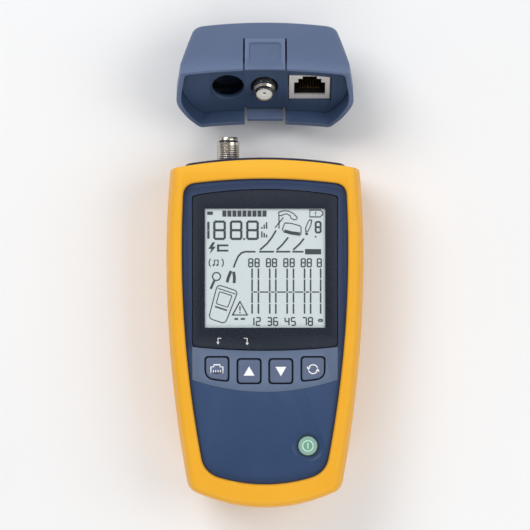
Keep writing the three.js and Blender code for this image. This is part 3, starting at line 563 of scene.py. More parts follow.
def inset_at(z, skin, front=FRONT_ROUND):
    """How far the body's surface lies inside its outline at height z, with its flank's ridge eased."""
    reach = min(RIDGE_SOFT, z - skin, DEPTH - skin - z)
    steps = 8
    eased = sum(raw_inset(z + reach * (2 * i / steps - 1), skin) for i in range(steps + 1)) / (steps + 1)
    high = min(max((z - DEPTH + skin + front) / front, 0), 1)
    return eased + front * (1 - math.sqrt(max(1 - high * high, 0)))


def levels(skin, front=FRONT_ROUND):
    low, high = skin, DEPTH - skin
    back = BACK_ROUND["along"] - skin
    rising = [low + back * (1 - math.cos(math.radians(a))) for a in range(0, 91, 6)]
    middle = [low + back + (high - front - low - back) * i / 8 for i in range(1, 8)]
    closing = [high - front + front * math.sin(math.radians(a)) for a in range(0, 91, 15)]
    return rising + middle + closing


def body(name, skin, look="black", shape=OUTLINE, front=FRONT_ROUND):
    """The tester's body, skin inside the holster's surface, carried on past the top end."""
    sections = [
        (barrel(shape, ARCH_DROP, skin + inset_at(z, skin, front), skin + 26.0), z)
        for z in levels(skin, front)
    ]
    return loft(name, sections, look)


def below_arch(y, name="below"):
    xs = [50.0 - 100.0 * i / 80 for i in range(81)]
    outline = [(x, y + arch(x)) for x in xs] + [(-50.0, -95.0), (50.0, -95.0)]
    return prism(name, outline, -6.0, DEPTH + 12.0)


def above_arch(y, name="above"):
    xs = [50.0 - 100.0 * i / 80 for i in range(81)]
    outline = [(x, y + arch(x)) for x in reversed(xs)] + [(50.0, 140.0), (-50.0, 140.0)]
    return prism(name, outline, -6.0, DEPTH + 12.0)


def rounded(corners, radius, steps=8):
    """Outline with rounded corners. radius: one for all corners, or a list with one for each."""
    points = []
    radii = radius if isinstance(radius, list) else [radius] * len(corners)
    for i, (corner, radius) in enumerate(zip(corners, radii)):
        before, after = Vector(corners[i - 1]), Vector(corners[(i + 1) % len(corners)])
        here = Vector(corner)
        start = here + (before - here).normalized() * radius
        end = here + (after - here).normalized() * radius
        points.append(tuple(start))
        points += bend(tuple(start), corner, tuple(end), steps)
    return points


def rectangle(x0, x1, y0, y1):
    return [(x0, y0), (x1, y0), (x1, y1), (x0, y1)]


def cap_outline(inset):
    """Plan outline of the adapter in its plugged-on place, taken in by inset."""
    half = OUTLINE["wide"] - (CAP["lip"] - OUTLINE["wide_y"]) ** 2 / (2 * OUTLINE["side_up"]) - inset
    more = max(inset - CAP["skin"], 0)
    far, end = CAP["end_half"] - more, CAP["end"] - more
    side = end - CAP["end_drop"]
    radius = max(CAP["corner"] - inset * 0.2, 1.5)
    shoulder, corner = Vector((half, CAP["lip"] + 3.0)), Vector((far, side))

    def end_edge(x):
        return end - CAP["end_drop"] * (x / far) ** 2

    before = corner + (shoulder - corner).normalized() * radius
    after = (far - radius, end_edge(far - radius))
    right = [(half, 50.0), tuple(shoulder)]
    mid = ((half + before.x) / 2 + CAP["bulge"], (shoulder.y + before.y) / 2)
    via = (2 * mid[0] - (shoulder.x + before.x) / 2, 2 * mid[1] - (shoulder.y + before.y) / 2)
    right += bend(tuple(shoulder), via, tuple(before), 14)
    right += bend(tuple(before), tuple(corner), after, 10)
    right += [(after[0] * i / 14, end_edge(after[0] * i / 14)) for i in range(13, 0, -1)]
    return right + [(0.0, end)] + [(-x, y) for x, y in reversed(right)]


def cap_body(name, skin, look="black"):
    sections = [(cap_outline(skin + inset_at(z, skin)), z) for z in levels(skin)]
    return loft(name, sections, look)


def strokes(name, lines, z, look, thick=0.05, place=None):
    """Thin flat marks. lines: (points, width) open lines, or (points, None) filled outlines."""
    points, faces = [], []

    def plate(outline):
        start, n = len(points), len(outline)
        points.extend((x, y, z) for x, y in outline)
        points.extend((x, y, z + thick) for x, y in outline)
        faces.append(tuple(start + n + i for i in range(n)))
        faces.append(tuple(start + i for i in reversed(range(n))))
        for i in range(n):
            j = (i + 1) % n
            faces.append((start + i, start + j, start + n + j, start + n + i))

    for line, width in lines:
        if width is None:
            plate(line)
            continue
        line = [Vector(p) for p in line]
        left, right = [], []
        for i, p in enumerate(line):
            ahead = line[min(i + 1, len(line) - 1)] - line[max(i - 1, 0)]
            normal = Vector((-ahead.y, ahead.x)).normalized() * width / 2
            if 0 < i < len(line) - 1:
                turn = (line[i] - line[i - 1]).normalized().dot((line[i + 1] - line[i]).normalized())
                normal *= 1 / max(math.sqrt((1 + turn) / 2), 0.5)
            left.append(tuple(p + normal))
            right.append(tuple(p - normal))
        plate(right + left[::-1])
    return make(name, points, faces, look, 30.0, place)


# ---- Tester: holster and case ----

def window_cutter():
    """Opening in the holster's front, flaring out in a rounded lip."""
    lip, steps = 1.1, 6
    sections = [(barrel(WINDOW, WINDOW_ARCH), FACE_Z - 8.0), (barrel(WINDOW, WINDOW_ARCH), DEPTH - lip)]
    for i in range(1, steps + 1):
        a = math.radians(90.0 * i / steps)
        outline = barrel(WINDOW, WINDOW_ARCH, -lip * (1 - math.cos(a)))
        sections.append((outline, DEPTH - lip + lip * math.sin(a)))
    sections.append((barrel(WINDOW, WINDOW_ARCH, -lip - 0.3), DEPTH + 3.0))
    return loft("window_cutter", sections)


def door_outline(grow, radius):
    """Outline of an opening round the battery door, grow wider than the door."""
    low, high = DOOR.low, DOOR.high
    return rounded(rectangle(low.x - grow, high.x + grow, low.y - grow, high.y + grow), radius)


def make_holster():
    holster = body("holster_boot", 0.0, "holster", HOLSTER_OUTLINE, BOOT_FRONT_ROUND)
    keep_inside(holster, below_arch(HOLSTER_OUTLINE["top"]))
    mouth = keep_inside(body("mouth", MOUTH_WALL), above_arch(GROOVE_Y))
    opening = prism("opening", door_outline(1.3, 3.0), -5.0, 14.0)
    cut(holster, body("hollow", HOLSTER_WALL), mouth, window_cutter(), opening)
    finish_cut(holster, "tester", "holster_rubber", "holster")


def key_outline(name, grow=0.0):
    """A key's outline, from the top of its CAD flange; the outer keys have a slanted low corner."""
    box, side = Box(name), KEYS[name]
    w, h = KEY["half_w"] + grow, KEY["half_h"] + grow
    y_mid = box.high.y - KEY["flange"] - KEY["half_h"]
    low_left = -h + (KEY["slant"] if side < 0 else 0)
    low_right = -h + (KEY["slant"] if side > 0 else 0)
    corners = [(-w, low_left), (w, low_right), (w, h), (-w, h)]
    radii = [KEY["corner"] + grow * 0.6] * 4
    if side:
        radii[0 if side < 0 else 1] *= 2.4
    return [(x + box.mid.x, y + y_mid) for x, y in rounded(corners, radii)]


def lens_outline(inset=0.0):
    """The window's outline: bowed top and bottom, small corners."""
    half = LENS.high.x - inset
    top, low = LENS.high.y - inset, LENS.low.y + inset
    bow_top, bow_low, radius = LENS_BOW["top"], LENS_BOW["low"], LENS_BOW["corner"]
    corners = rectangle(-half, half, low + bow_low, top - bow_top)
    arcs = []
    for i, c in enumerate(corners):
        sx, sy = (1 if c[0] > 0 else -1), (1 if i > 1 else -1)
        along, beside = (c[0] - sx * radius, c[1]), (c[0], c[1] - sy * radius)
        start, end = (beside, along) if sx * sy > 0 else (along, beside)
        arcs.append([start] + bend(start, c, end, 8))
    n = 24
    xs = [half * (2 * i / n - 1) for i in range(1, n)]
    xs = [x for x in xs if abs(x) < half - radius]
    bottom = [(x, low + bow_low * (x / half) ** 2) for x in xs]
    upper = [(x, top - bow_top * (x / half) ** 2) for x in reversed(xs)]
    return bottom + arcs[1] + arcs[2] + upper + arcs[3] + arcs[0]


def band_outline(inset=0.0):
    """The lighter key band under the window."""
    half = LENS.high.x + 0.1 - inset
    side_low, middle_low = BAND["side"] + inset, BAND["middle"] + inset
    n = 30
    xs = [half * (2 * i / n - 1) for i in range(n + 1)]
    upper = [(x, LENS.low.y - 0.35 - inset + 1.5 * (x / LENS.high.x) ** 2) for x in reversed(xs)]
    lower = [(x, middle_low + (side_low - middle_low) * (x / half) ** 2) for x in xs]
    return lower + upper


def make_case():
    front = body("case_front", CASE_SKIN, "blue")
    keep_inside(front, below_arch(GROOVE_Y))
    # The neck takes the near-black navy look: painted shade where it shows past the holster's top edge.
    neck = keep_inside(body("neck", NECK_SKIN, "groove"), below_arch(END_Y))
    cut(front, neck, join=True, keep_look=True)
    hollow = keep_inside(body("hollow", CASE_SKIN + CASE_WALL), below_arch(GROOVE_Y - CASE_WALL))
    cut(front, hollow, body("bore", NECK_SKIN + CASE_WALL))
    rear = copy_of(front, "case_rear")
    seam = 0.12
    cut(front, block((-60, -95, -9), (60, 120, SPLIT_Z + seam)))
    chamfer = [(END_Y - 5.0, 0.0), (END_Y + 3.0, 0.0), (END_Y + 3.0, NECK_SKIN + 5.76),
               (END_Y - 5.0, NECK_SKIN)]
    cut(rear, block((-60, -95, SPLIT_Z - seam), (60, 120, 60)),
        prism("chamfer", chamfer, -40.0, 40.0, place=ALONG_X),
        prism("bay", door_outline(AIR, 2.0), -1.0, 8.0))
    cut(front, prism("pocket", lens_outline(-0.25), LENS.low.z - 1.6, HIGH))
    for name in KEYS:
        cut(front, prism("slot", key_outline(name, AIR), LOW, HIGH))
    power = Box("power_key").mid
    cut(front, turned("hole", [(LOW, 3.9), (HIGH, 3.9)], power.x, power.y))
    dish = [(CASE_TOP - 0.45, 4.9), (CASE_TOP - 0.2, 5.9), (CASE_TOP + 0.2, 6.5), (CASE_TOP + 1.0, 7.5)]
    cut(front, turned("dish", dish, power.x, power.y))
    finish_cut(front, "tester", "case_blue", "front_case")
    finish_cut(rear, "tester", "case_blue", "rear_case")
    make_face_details()


def make_face_details():
    """Raised key band, grooves round the keys lined with near-black painted shade, a dark strip of painted shadow
    round the holster's window, and surround of the window.
    """
    under = CASE_TOP - 0.3
    band = cushion("key_band", band_outline, under, FACE_Z, "band", edge=0.25)
    for name in KEYS:
        cut(band, prism("slot", key_outline(name, 0.32), LOW, HIGH))
    finish_cut(band, "tester", "case_blue")
    # Near-black navy linings in the gaps round the keys: painted shade.
    for name in KEYS:
        groove = prism(f"{name}_well", key_outline(name, 0.31), 29.4, 31.6, "groove")
        cut(groove, prism("core", key_outline(name, -0.5), LOW, HIGH))
        finish_cut(groove, "tester", "case_dark")
    # A near-black navy strip round the window's edge: painted shadow where the holster's rim meets the case.
    seam = prism("window_painted_shadow", barrel(WINDOW, WINDOW_ARCH, -0.3), under, CASE_TOP + 0.1, "groove")
    cut(seam, prism("inside", barrel(WINDOW, WINDOW_ARCH, 0.6), LOW, HIGH))
    finish_cut(seam, "tester", "case_dark")

    def around_lens(inset):
        return lens_outline(inset - 2.6)

    surround = cushion("window_surround", around_lens, under, CASE_TOP + 0.12, "surround", edge=0.12)
    cut(surround, prism("pocket", lens_outline(-0.2), LOW, HIGH))
    cut(surround, prism("trim", band_outline(-0.05), LOW, HIGH))
    cut(surround, block((-60, -60, LOW), (60, LENS.low.y - 0.2, HIGH)))
    finish_cut(surround, "tester", "case_dark")


def make_display():
    mask = prism("lens_print", lens_outline(0.05), MASK.low.z, MASK.high.z, "ink")
    cut(mask, block((-LCD["half"], LCD["low"], LOW), (LCD["half"], LCD["high"], HIGH)))
    finish_cut(mask, "tester", "lens_ink", "lens_mask")
    lens = cushion("lens_window", lens_outline, LENS.low.z, LENS.high.z, "lens", edge=0.3)
    finish_piece(lens, "tester", "lens_clear", "display_lens")
    left, low, spread = -LCD["half"], LCD["low"], 1.022
    marks = [
        ([(left + x * spread, low + y * spread) for x, y in line], width and width * 1.16)
        for line, width in display_marks()
    ]
    segments = strokes("lcd_marks", marks, GLASS.high.z + 0.04, "segment")
    finish_piece(segments, "tester", "lcd")
    bracket = [([(-16.9, -2.1), (-18.2, -2.1), (-18.2, -3.6)], 0.28),
               ([(-18.8, -3.5), (-17.6, -3.5), (-18.2, -4.5)], None),
               ([(-8.2, -2.1), (-6.9, -2.1), (-6.9, -3.9)], 0.28),
               ([(-7.5, -3.8), (-6.3, -3.8), (-6.9, -4.8)], None)]
    printed = strokes("shift_bracket", bracket, MASK.high.z + 0.01, "print")
    finish_piece(printed, "tester", "white_plastic")


# Lit bars of a seven-bar figure: a top, b upper right, c lower right, d bottom, e lower left,
# f upper left, g middle.
FIGURES = {"1": "bc", "2": "abged", "3": "abgcd", "4": "fgbc", "5": "afgcd", "6": "afgedc",
           "7": "abc", "8": "abcdefg", "o": "cdeg"}


def figure(digit, x, y, w, h, t):
    """Bars of one figure whose box starts at (x, y)."""
    gap = t * 0.12
    r, m = x + w - t / 2, y + h / 2
    l, b, u = x + t / 2, y + t / 2, y + h - t / 2
    bars = {
        "a": [(l + gap, u), (r - gap, u)], "b": [(r, m + gap), (r, u - gap)],
        "c": [(r, b + gap), (r, m - gap)], "d": [(l + gap, b), (r - gap, b)],
        "e": [(l, b + gap), (l, m - gap)], "f": [(l, m + gap), (l, u - gap)],
        "g": [(l + gap, m), (r - gap, m)],
    }
    return [(bars[k], t) for k in FIGURES[digit]]


def arc(cx, cy, rx, ry, start, end, steps=16):
    return [
        (cx + rx * math.cos(math.radians(start + (end - start) * i / steps)),
         cy + ry * math.sin(math.radians(start + (end - start) * i / steps)))
        for i in range(steps + 1)
    ]


def turned_points(points, cx, cy, angle):
    c, s = math.cos(math.radians(angle)), math.sin(math.radians(angle))
    return [(cx + x * c - y * s, cy + x * s + y * c) for x, y in points]


def closed(points, width):
    return points + points[:2], width


def dot(x, y, rx, ry=None):
    return arc(x, y, rx, ry or rx, 0, 330, 11), None


def display_marks():
    """Everything the display can show, in millimetres from its lower left corner."""
    return number_marks() + tester_marks() + cable_marks() + wire_marks()


def number_marks():
    """The large length figure with its bars, power over the cable, and the tone mark."""
    marks = figure("1", 0.2, 33.3, 1.5, 7.3, 0.75)
    for x in (3.2, 9.5, 15.7):
        marks += figure("8", x, 33.3, 4.7, 7.3, 0.75)
    marks.append(dot(14.9, 33.6, 0.4))
    marks += [([(21.6 + 0.9 * i, 37.5), (21.6 + 0.9 * i, 38.2 + 0.9 * i)], 0.45) for i in range(3)]
    marks += [([(21.6 + 0.9 * i, 34.2), (21.6 + 0.9 * i, 36.5 - 0.6 * i)], 0.45) for i in range(3)]
    marks += [([(7.4 + 1.9 * i, 42.1), (7.4 + 1.9 * i, 44.4)], 1.35) for i in range(9)]
    bolt = [(2.9, 32.4), (1.3, 29.9), (2.5, 29.9), (1.8, 27.9), (4.1, 30.7), (2.9, 30.7), (3.9, 32.4)]
    return marks + [
        ([(0.9, 43.4), (3.0, 43.4)], 1.1), (bolt, None),
        ([(5.0, 31.6), (5.0, 28.8)], 0.7), ([(5.3, 31.2), (8.9, 31.2)], 0.6),
        ([(5.3, 29.2), (8.9, 29.2)], 0.6),
        (arc(3.2, 24.6, 1.6, 1.9, 130, 230), 0.35), (arc(5.4, 24.6, 1.6, 1.9, -50, 50), 0.35),
        ([(3.6, 23.7), (3.6, 25.6), (5.0, 25.6), (5.0, 23.7)], 0.3),
        dot(3.3, 23.7, 0.4, 0.35), dot(4.7, 23.7, 0.4, 0.35),
    ]


def tester_marks():
    """Magnifier, clip, the tester itself, tilted, and a warning triangle over two bars."""

    def tilted(points):
        return turned_points(points, 6.6, 8.8, -18)

    shell = rounded([(-3.3, -6.6), (3.3, -6.6), (4.1, 6.6), (-4.1, 6.6)], 1.7)
    screen = rounded([(-2.3, -0.4), (2.3, -0.4), (2.5, 4.3), (-2.5, 4.3)], 0.4)
    return [
        (arc(4.4, 19.4, 1.5, 1.5, 0, 360, 28), 0.4), ([(3.6, 17.9), (2.2, 14.7)], 0.75),
        ([(9.9, 21.5), (8.9, 19.0), (8.4, 17.2)], 0.95), ([(10.9, 21.2), (11.2, 19.0), (11.1, 16.9)], 0.95),
        closed(tilted(shell), 0.32), closed(tilted(screen), 0.28),
        (tilted([(-2.4, -1.6), (2.4, -1.6)]), 0.5), (tilted([(-3.5, 5.3), (3.5, 5.3)]), 0.28),
        closed([(13.3, 9.9), (10.5, 4.8), (16.1, 4.8)], 0.36),
        ([(13.3, 8.1), (13.3, 6.5)], 0.4), ([(13.3, 6.0), (13.3, 5.5)], 0.4),
        ([(11.2, 3.3), (12.6, 3.3)], 0.6), ([(13.6, 3.3), (15.2, 3.3)], 0.6),
    ]


def cable_marks():
    """The cable, and what can be found along it: handset, hub, probe and cell."""
    marks = [([(10.9, 22.8), (11.7, 25.0), (12.6, 27.0), (13.8, 28.3), (15.2, 28.8), (19.2, 28.8)], 0.55)]
    marks += [([(a, 28.8), (b, 28.8)], 0.55) for a, b in ((20.6, 26.2), (27.0, 32.4), (33.2, 37.4))]
    marks += [
        ([(20.9, 29.5), (23.6, 31.9), (25.4, 34.2), (27.0, 36.9)], 0.55),
        ([(27.3, 29.5), (29.5, 31.6), (31.6, 34.2)], 0.55),
        ([(33.5, 29.5), (35.9, 31.7), (37.6, 33.8)], 0.55),
        (rectangle(38.0, 44.1, 27.8, 29.8), None),
    ]
    handset = [(27.9, 43.7), (29.7, 44.3), (31.8, 44.2), (33.7, 43.2), (35.1, 41.7), (34.8, 41.1),
               (33.7, 40.9), (32.6, 41.6), (32.4, 42.4), (31.0, 43.2), (29.7, 42.9), (28.9, 42.4),
               (28.1, 42.7)]
    hub = [(30.3, 39.7), (32.6, 39.6), (36.1, 38.6), (36.5, 38.1), (36.4, 35.4), (35.9, 35.0),
           (32.6, 35.5), (29.9, 36.3), (29.4, 37.3)]
    probe = [(39.7, 40.9), (40.5, 40.8), (40.2, 38.9), (39.1, 36.5), (38.3, 36.3), (38.2, 37.8),
             (39.1, 40.0)]
    cell = [(39.8, 44.6), (43.9, 44.6), (44.2, 44.1), (44.7, 44.0), (44.7, 42.7), (44.2, 42.6),
            (43.9, 42.0), (39.8, 42.0)]
    marks += [closed(shape, 0.3) for shape in (handset, hub, probe, cell)]
    marks += [
        ([(28.1, 42.6), (28.1, 37.6)], 0.35), ([(29.8, 41.8), (26.6, 37.9)], 0.35),
        ([(30.2, 36.8), (32.8, 36.1), (36.0, 35.7)], 0.8), dot(38.6, 35.6, 0.55),
        ([(42.0, 44.0), (42.0, 43.1)], 0.35), ([(42.0, 42.8), (42.0, 42.5)], 0.35),
    ]
    return marks + figure("8", 41.7, 35.8, 2.5, 4.6, 0.62) + [dot(42.0, 34.5, 0.35)]


def wire_marks():
    """The wiremap: eight wires and a screen, each with a figure at both ends."""
    marks, wires = [], (17.9, 20.3, 24.6, 26.9, 31.2, 33.6, 37.8, 40.1, 43.9)
    for x, digit in zip(wires, "12364578o"):
        marks += figure("8", x - 1.45, 22.9, 1.9, 3.4, 0.42)
        for low, high in ((5.3, 9.0), (9.4, 13.3), (13.7, 18.3), (18.7, 22.4)):
            marks += [([(x, low), (x, high)], 0.5)]
        height = 3.3 if digit != "o" else 1.8
        marks += figure(digit, x - 1.0, 4.0 - height, 1.9, height, 0.42)
    return marks + [([(a + 0.5, 13.5), (b - 0.5, 13.5)], 0.4) for a, b in zip(wires, wires[1:])]


def make_keys():
    for name in KEYS:
        box = Box(name)

        def shape(inset, name=name):
            return key_outline(name, -AIR - inset)

        key = cushion(f"{name}_cap", shape, box.low.z + 0.3, box.high.z, "key", edge=0.7, steps=6)
        top = box.high.z
        dimple = [(top - 0.18, 0.4), (top - 0.12, 2.2), (top + 0.02, 3.6), (top + 0.5, 4.2)]
        cut(key, turned("dimple", dimple, box.mid.x, key_middle(box), "key"))
        tidy(key, 40.0)
        finish_piece(key, name, "key_grey", name)
        finish_piece(key_mark(name, box), name, "white_plastic")
    make_power_key(Box("power_key"))


def key_middle(box):
    return box.high.y - KEY["flange"] - KEY["half_h"]


def make_power_key(box):
    x, y, top, fillet = box.mid.x, box.mid.y, box.high.z, 0.55
    disc = [(box.low.z + 0.3, 3.7), (top - 0.75, 3.7)]
    disc += [(z + top - fillet, radius + 3.15) for radius, z in circle(0, 0, fillet, 24)[:7]]
    disc += [(top - 0.03, 2.6), (top - 0.16, 1.9), (top - 0.18, 0.2)]
    finish_piece(turned("power_cap", disc, x, y, "green", 50.0), "power_key", "key_green", "power_key")
    symbol = [(arc(x, y, 2.0, 2.0, 0, 360, 48), 0.5), ([(x, y - 1.1), (x, y + 1.2)], 0.5)]
    printed = strokes("power_mark", symbol, top - 0.19, "mint", thick=0.15)
    finish_piece(printed, "power_key", "white_plastic")
    inner = turned("power_dish", [(top - 0.19, 1.9), (top - 0.14, 1.9)], x, y, "green_mid")
    finish_piece(inner, "power_key", "key_green")
    well = turned("power_well", [(CASE_TOP - 2.2, 4.3), (CASE_TOP - 0.25, 4.3)], x, y, "green_dark")
    cut(well, turned("core", [(CASE_TOP - 4.0, 3.8), (CASE_TOP + 2.0, 3.8)], x, y, "green_dark"))
    finish_cut(well, "tester", "key_green")


def key_mark(name, box):
    """White print on a key: arrows, a socket outline and a cycle of two bars."""
    x, y, z = box.mid.x, key_middle(box), box.high.z - 0.15
    if name == "up_key":
        lines = [([(-2.1, -1.7), (2.1, -1.7), (0, 1.9)], None)]
    elif name == "down_key":
        lines = [([(2.1, 1.7), (-2.1, 1.7), (0, -1.9)], None)]
    elif name == "port_key":
        lines = [closed([(-2.3, -1.5), (2.3, -1.5), (2.3, 0.9), (1.2, 0.9), (1.2, 1.7), (-1.2, 1.7),
                         (-1.2, 0.9), (-2.3, 0.9)], 0.36)]
        lines += [([(0.9 * i, -1.2), (0.9 * i, -0.3)], 0.3) for i in (-1.5, -0.5, 0.5, 1.5)]
    else:
        lines = [(arc(0, 0, 1.8, 1.7, start, start + 140, 20), 0.4) for start in (20, 200)]
        lines += [([(-2.5, 0.9), (-0.9, 0.9), (-1.8, -0.4)], None),
                  ([(2.5, -0.9), (0.9, -0.9), (1.8, 0.4)], None)]
    lines = [([(x + px, y + py) for px, py in line], width) for line, width in lines]
    return strokes(f"{name}_mark", lines, z, "print", thick=0.16)


# ---- Connectors ----

def thread(start, end, sign, radius, pitch=0.79, depth=0.1):
    """Profile points of a screw thread along Y, from start towards end."""
    points = []
    y, step = start, sign * pitch
    while (end - y) * sign > pitch:
        points += [(y, radius), (y + step * 0.28, radius), (y + step * 0.5, radius - depth),
                   (y + step * 0.72, radius - depth)]
        y += step
    return points


def make_f_jack(name, prefix, base, length, sign, rides_on, place, centre_x):
    """F jack along Y from base, pointing to sign * Y, for the CAD nodes that start with prefix."""
    tip = base + sign * length
    radius, bore = 4.45, 3.25
    profile = [(base, bore), (base, radius - 0.5)]
    profile += thread(base + sign * 1.0, tip - sign * 2.6, sign, radius)
    profile += [(tip - sign * 2.4, radius), (tip - sign * 2.1, radius), (tip - sign * 1.3, radius - 0.65),
                (tip - sign * 0.3, radius - 0.7), (tip, radius - 0.85), (tip, bore), (base, bore)]
    shell = lathe(name, profile, centre_x, "nickel", 72, 28.0, place, close_ends=False)
    finish_piece(shell, rides_on, "nickel", f"{prefix}_barrel")
    face = tip - sign * 0.4
    ends = [(base + sign * 1.6, 0.9), (base + sign * 1.6, bore - 0.05), (face - sign * 0.15, bore - 0.05),
            (face, bore - 0.2), (face, 1.0), (face - sign * 0.5, 0.62), (face - sign * 4.0, 0.6)]
    plug = lathe(f"{name}_insulator", ends, centre_x, "white", 48, place=place)
    finish_piece(plug, rides_on, "white_plastic", f"{prefix}_insulator")


def make_rj45(name, prefix, x, y, deep, sign, rides_on, place=Matrix()):
    """Shielded eight-way jack whose face is at y and looks along sign * Y."""
    w, h = RJ45.size.x, RJ45.size.z
    low = PORT_Z - h / 2
    wall, face = 0.8, 1.0

    def ys(a, b):
        return sorted((y - sign * a, y - sign * b))

    def slab(inset, a, b, look="shield"):
        near, far = ys(a, b)
        half = w / 2 - inset
        return block((x - half, near, low + inset), (x + half, far, low + h - inset), look=look)

    def opening(a, b, lip=0.0):
        """Cutter for the plug's opening. lip leaves a narrow edge at both sides of it."""
        outline = [(-6.1, 0), (6.1, 0), (6.1, 7.0), (4.5, 7.0), (4.5, 9.0), (2.8, 9.0), (2.8, 10.4),
                   (-2.8, 10.4), (-2.8, 9.0), (-4.5, 9.0), (-4.5, 7.0), (-6.1, 7.0)]
        floor = low + 2.3
        shape = [
            (x + px - math.copysign(lip, px), -(floor + pz) - (lip if pz > 3 else -lip))
            for px, pz in outline
        ]
        stand = Matrix(((1, 0, 0, 0), (0, 0, 1, 0), (0, -1, 0, 0), (0, 0, 0, 1)))
        return prism("opening", shape[::-1], *ys(a, b), place=stand)

    shield = slab(0.0, 0.0, deep)
    shield.name = name
    bm = bmesh.new()
    bm.from_mesh(shield.data)
    bmesh.ops.bevel(bm, geom=bm.edges[:], offset=0.35 * MM, segments=3, profile=0.5, affect="EDGES")
    bm.to_mesh(shield.data)
    bm.free()
    cut(shield, slab(wall, face, deep + 5), opening(-2, 4))
    shield.data.transform(place)
    finish_cut(shield, rides_on, "nickel", f"{prefix}_shield")
    inner = slab(wall + AIR, face + AIR, deep - 0.4, "black")
    inner.name = f"{name}_housing"
    cut(inner, opening(-2, deep - 1.0, 0.2))
    inner.data.transform(place)
    one_look(inner, "black")
    finish_cut(inner, rides_on, "black_plastic", f"{prefix}_housing")


def make_end():
    """End panel between the case's neck walls, with the recess for the adapter's jack."""
    inner, outer, cup_x = 65.4, 67.4, CAP_JACK_X
    panel = keep_inside(body("end_plate", NECK_SKIN + CASE_WALL + AIR, "dark"), above_arch(inner))
    keep_inside(panel, below_arch(outer))
    cut(panel, lathe("cup", [(60.2, 7.1), (66.4, 7.1)], cup_x, "dark"), join=True)
    cut(panel, lathe("bore", [(61.1, 6.0), (66.6, 6.0), (67.2, 6.5), (80.0, 6.5)], cup_x, "dark"))
    cut(panel, lathe("bore", [(40.0, 4.8), (80.0, 4.8)], F_JACK.mid.x, "dark"))
    cut(panel, jack_hole(RJ45.mid.x))
    one_look(panel, "dark")
    finish_cut(panel, "tester", "case_dark", "end_panel")
    make_f_jack("f_jack_thread", "f_jack", F_JACK.low.y, F_JACK.size.y, 1, "tester", None, F_JACK.mid.x)
    make_rj45("rj45_can", "rj45", RJ45.mid.x, RJ45.high.y, RJ45.size.y, 1, "tester")


def jack_hole(x):
    """Block that cuts the hole for a modular jack's shield."""
    half = RJ45.size.x / 2 + AIR
    return block((x - half, 40, RJ45.low.z - AIR), (x + half, 95, RJ45.high.z + AIR))


def make_door():
    """Battery door with thumb ridges and its screw."""

    def shape(inset):
        return door_outline(-inset, 1.9 - inset * 0.4)

    flip = Matrix.Translation((0, 0, (DOOR.low.z + DOOR.high.z) * MM)) @ Matrix.Scale(-1, 4, (0, 0, 1))
    door = cushion("door_cover", shape, DOOR.low.z, DOOR.high.z, "blue", edge=0.4, place=flip)
    screw = Box("door_screw")
    x, y, low = screw.mid.x, screw.mid.y, screw.low.z
    cut(door, turned("hole", [(-2.0, 2.95), (LOW, 2.95)], x, y, "blue"))
    ridges, spacing, thick = 7, 1.7, 0.35
    for i in range(ridges):
        ridge_y = DOOR.low.y + 8.0 + spacing * i
        half = 9.0 - abs(i - (ridges - 1) / 2) * 0.9
        groove = rounded(rectangle(-half, half, ridge_y - thick, ridge_y + thick), 0.3, 4)
        cut(door, prism("ridge", groove, 0.0, DOOR.low.z + 0.45))
    finish_cut(door, "battery_door", "case_blue", "battery_door")
    head = [(low, 1.9), (low + 0.2, 2.35), (low + 0.5, 2.5), (screw.high.z, 2.5)]
    bolt = turned("door_bolt", head, x, y, "steel")
    for half_x, half_y in ((1.6, 0.28), (0.28, 1.6)):
        cut(bolt, block((x - half_x, y - half_y, 0), (x + half_x, y + half_y, low + 0.8)))
    finish_cut(bolt, "door_screw", "steel", "door_screw")


# ---- Adapter ----

def latch_block(latch, grow, y0, y1, z0, z1):
    return block((-latch["half"] - grow, y0, z0), (latch["half"] + grow, y1, z1))


def cap_lead_in():
    top = DEPTH - CAP["skin"]
    outline = [(CAP["lip"] - 4.0, top - 0.7), (CAP["lip"], top - 0.7), (CAP["lip"] + 5.0, top + 0.01),
               (CAP["lip"] - 4.0, top + 1.0)]
    return prism("lead_in", outline, -50.0, 50.0, place=ALONG_X)


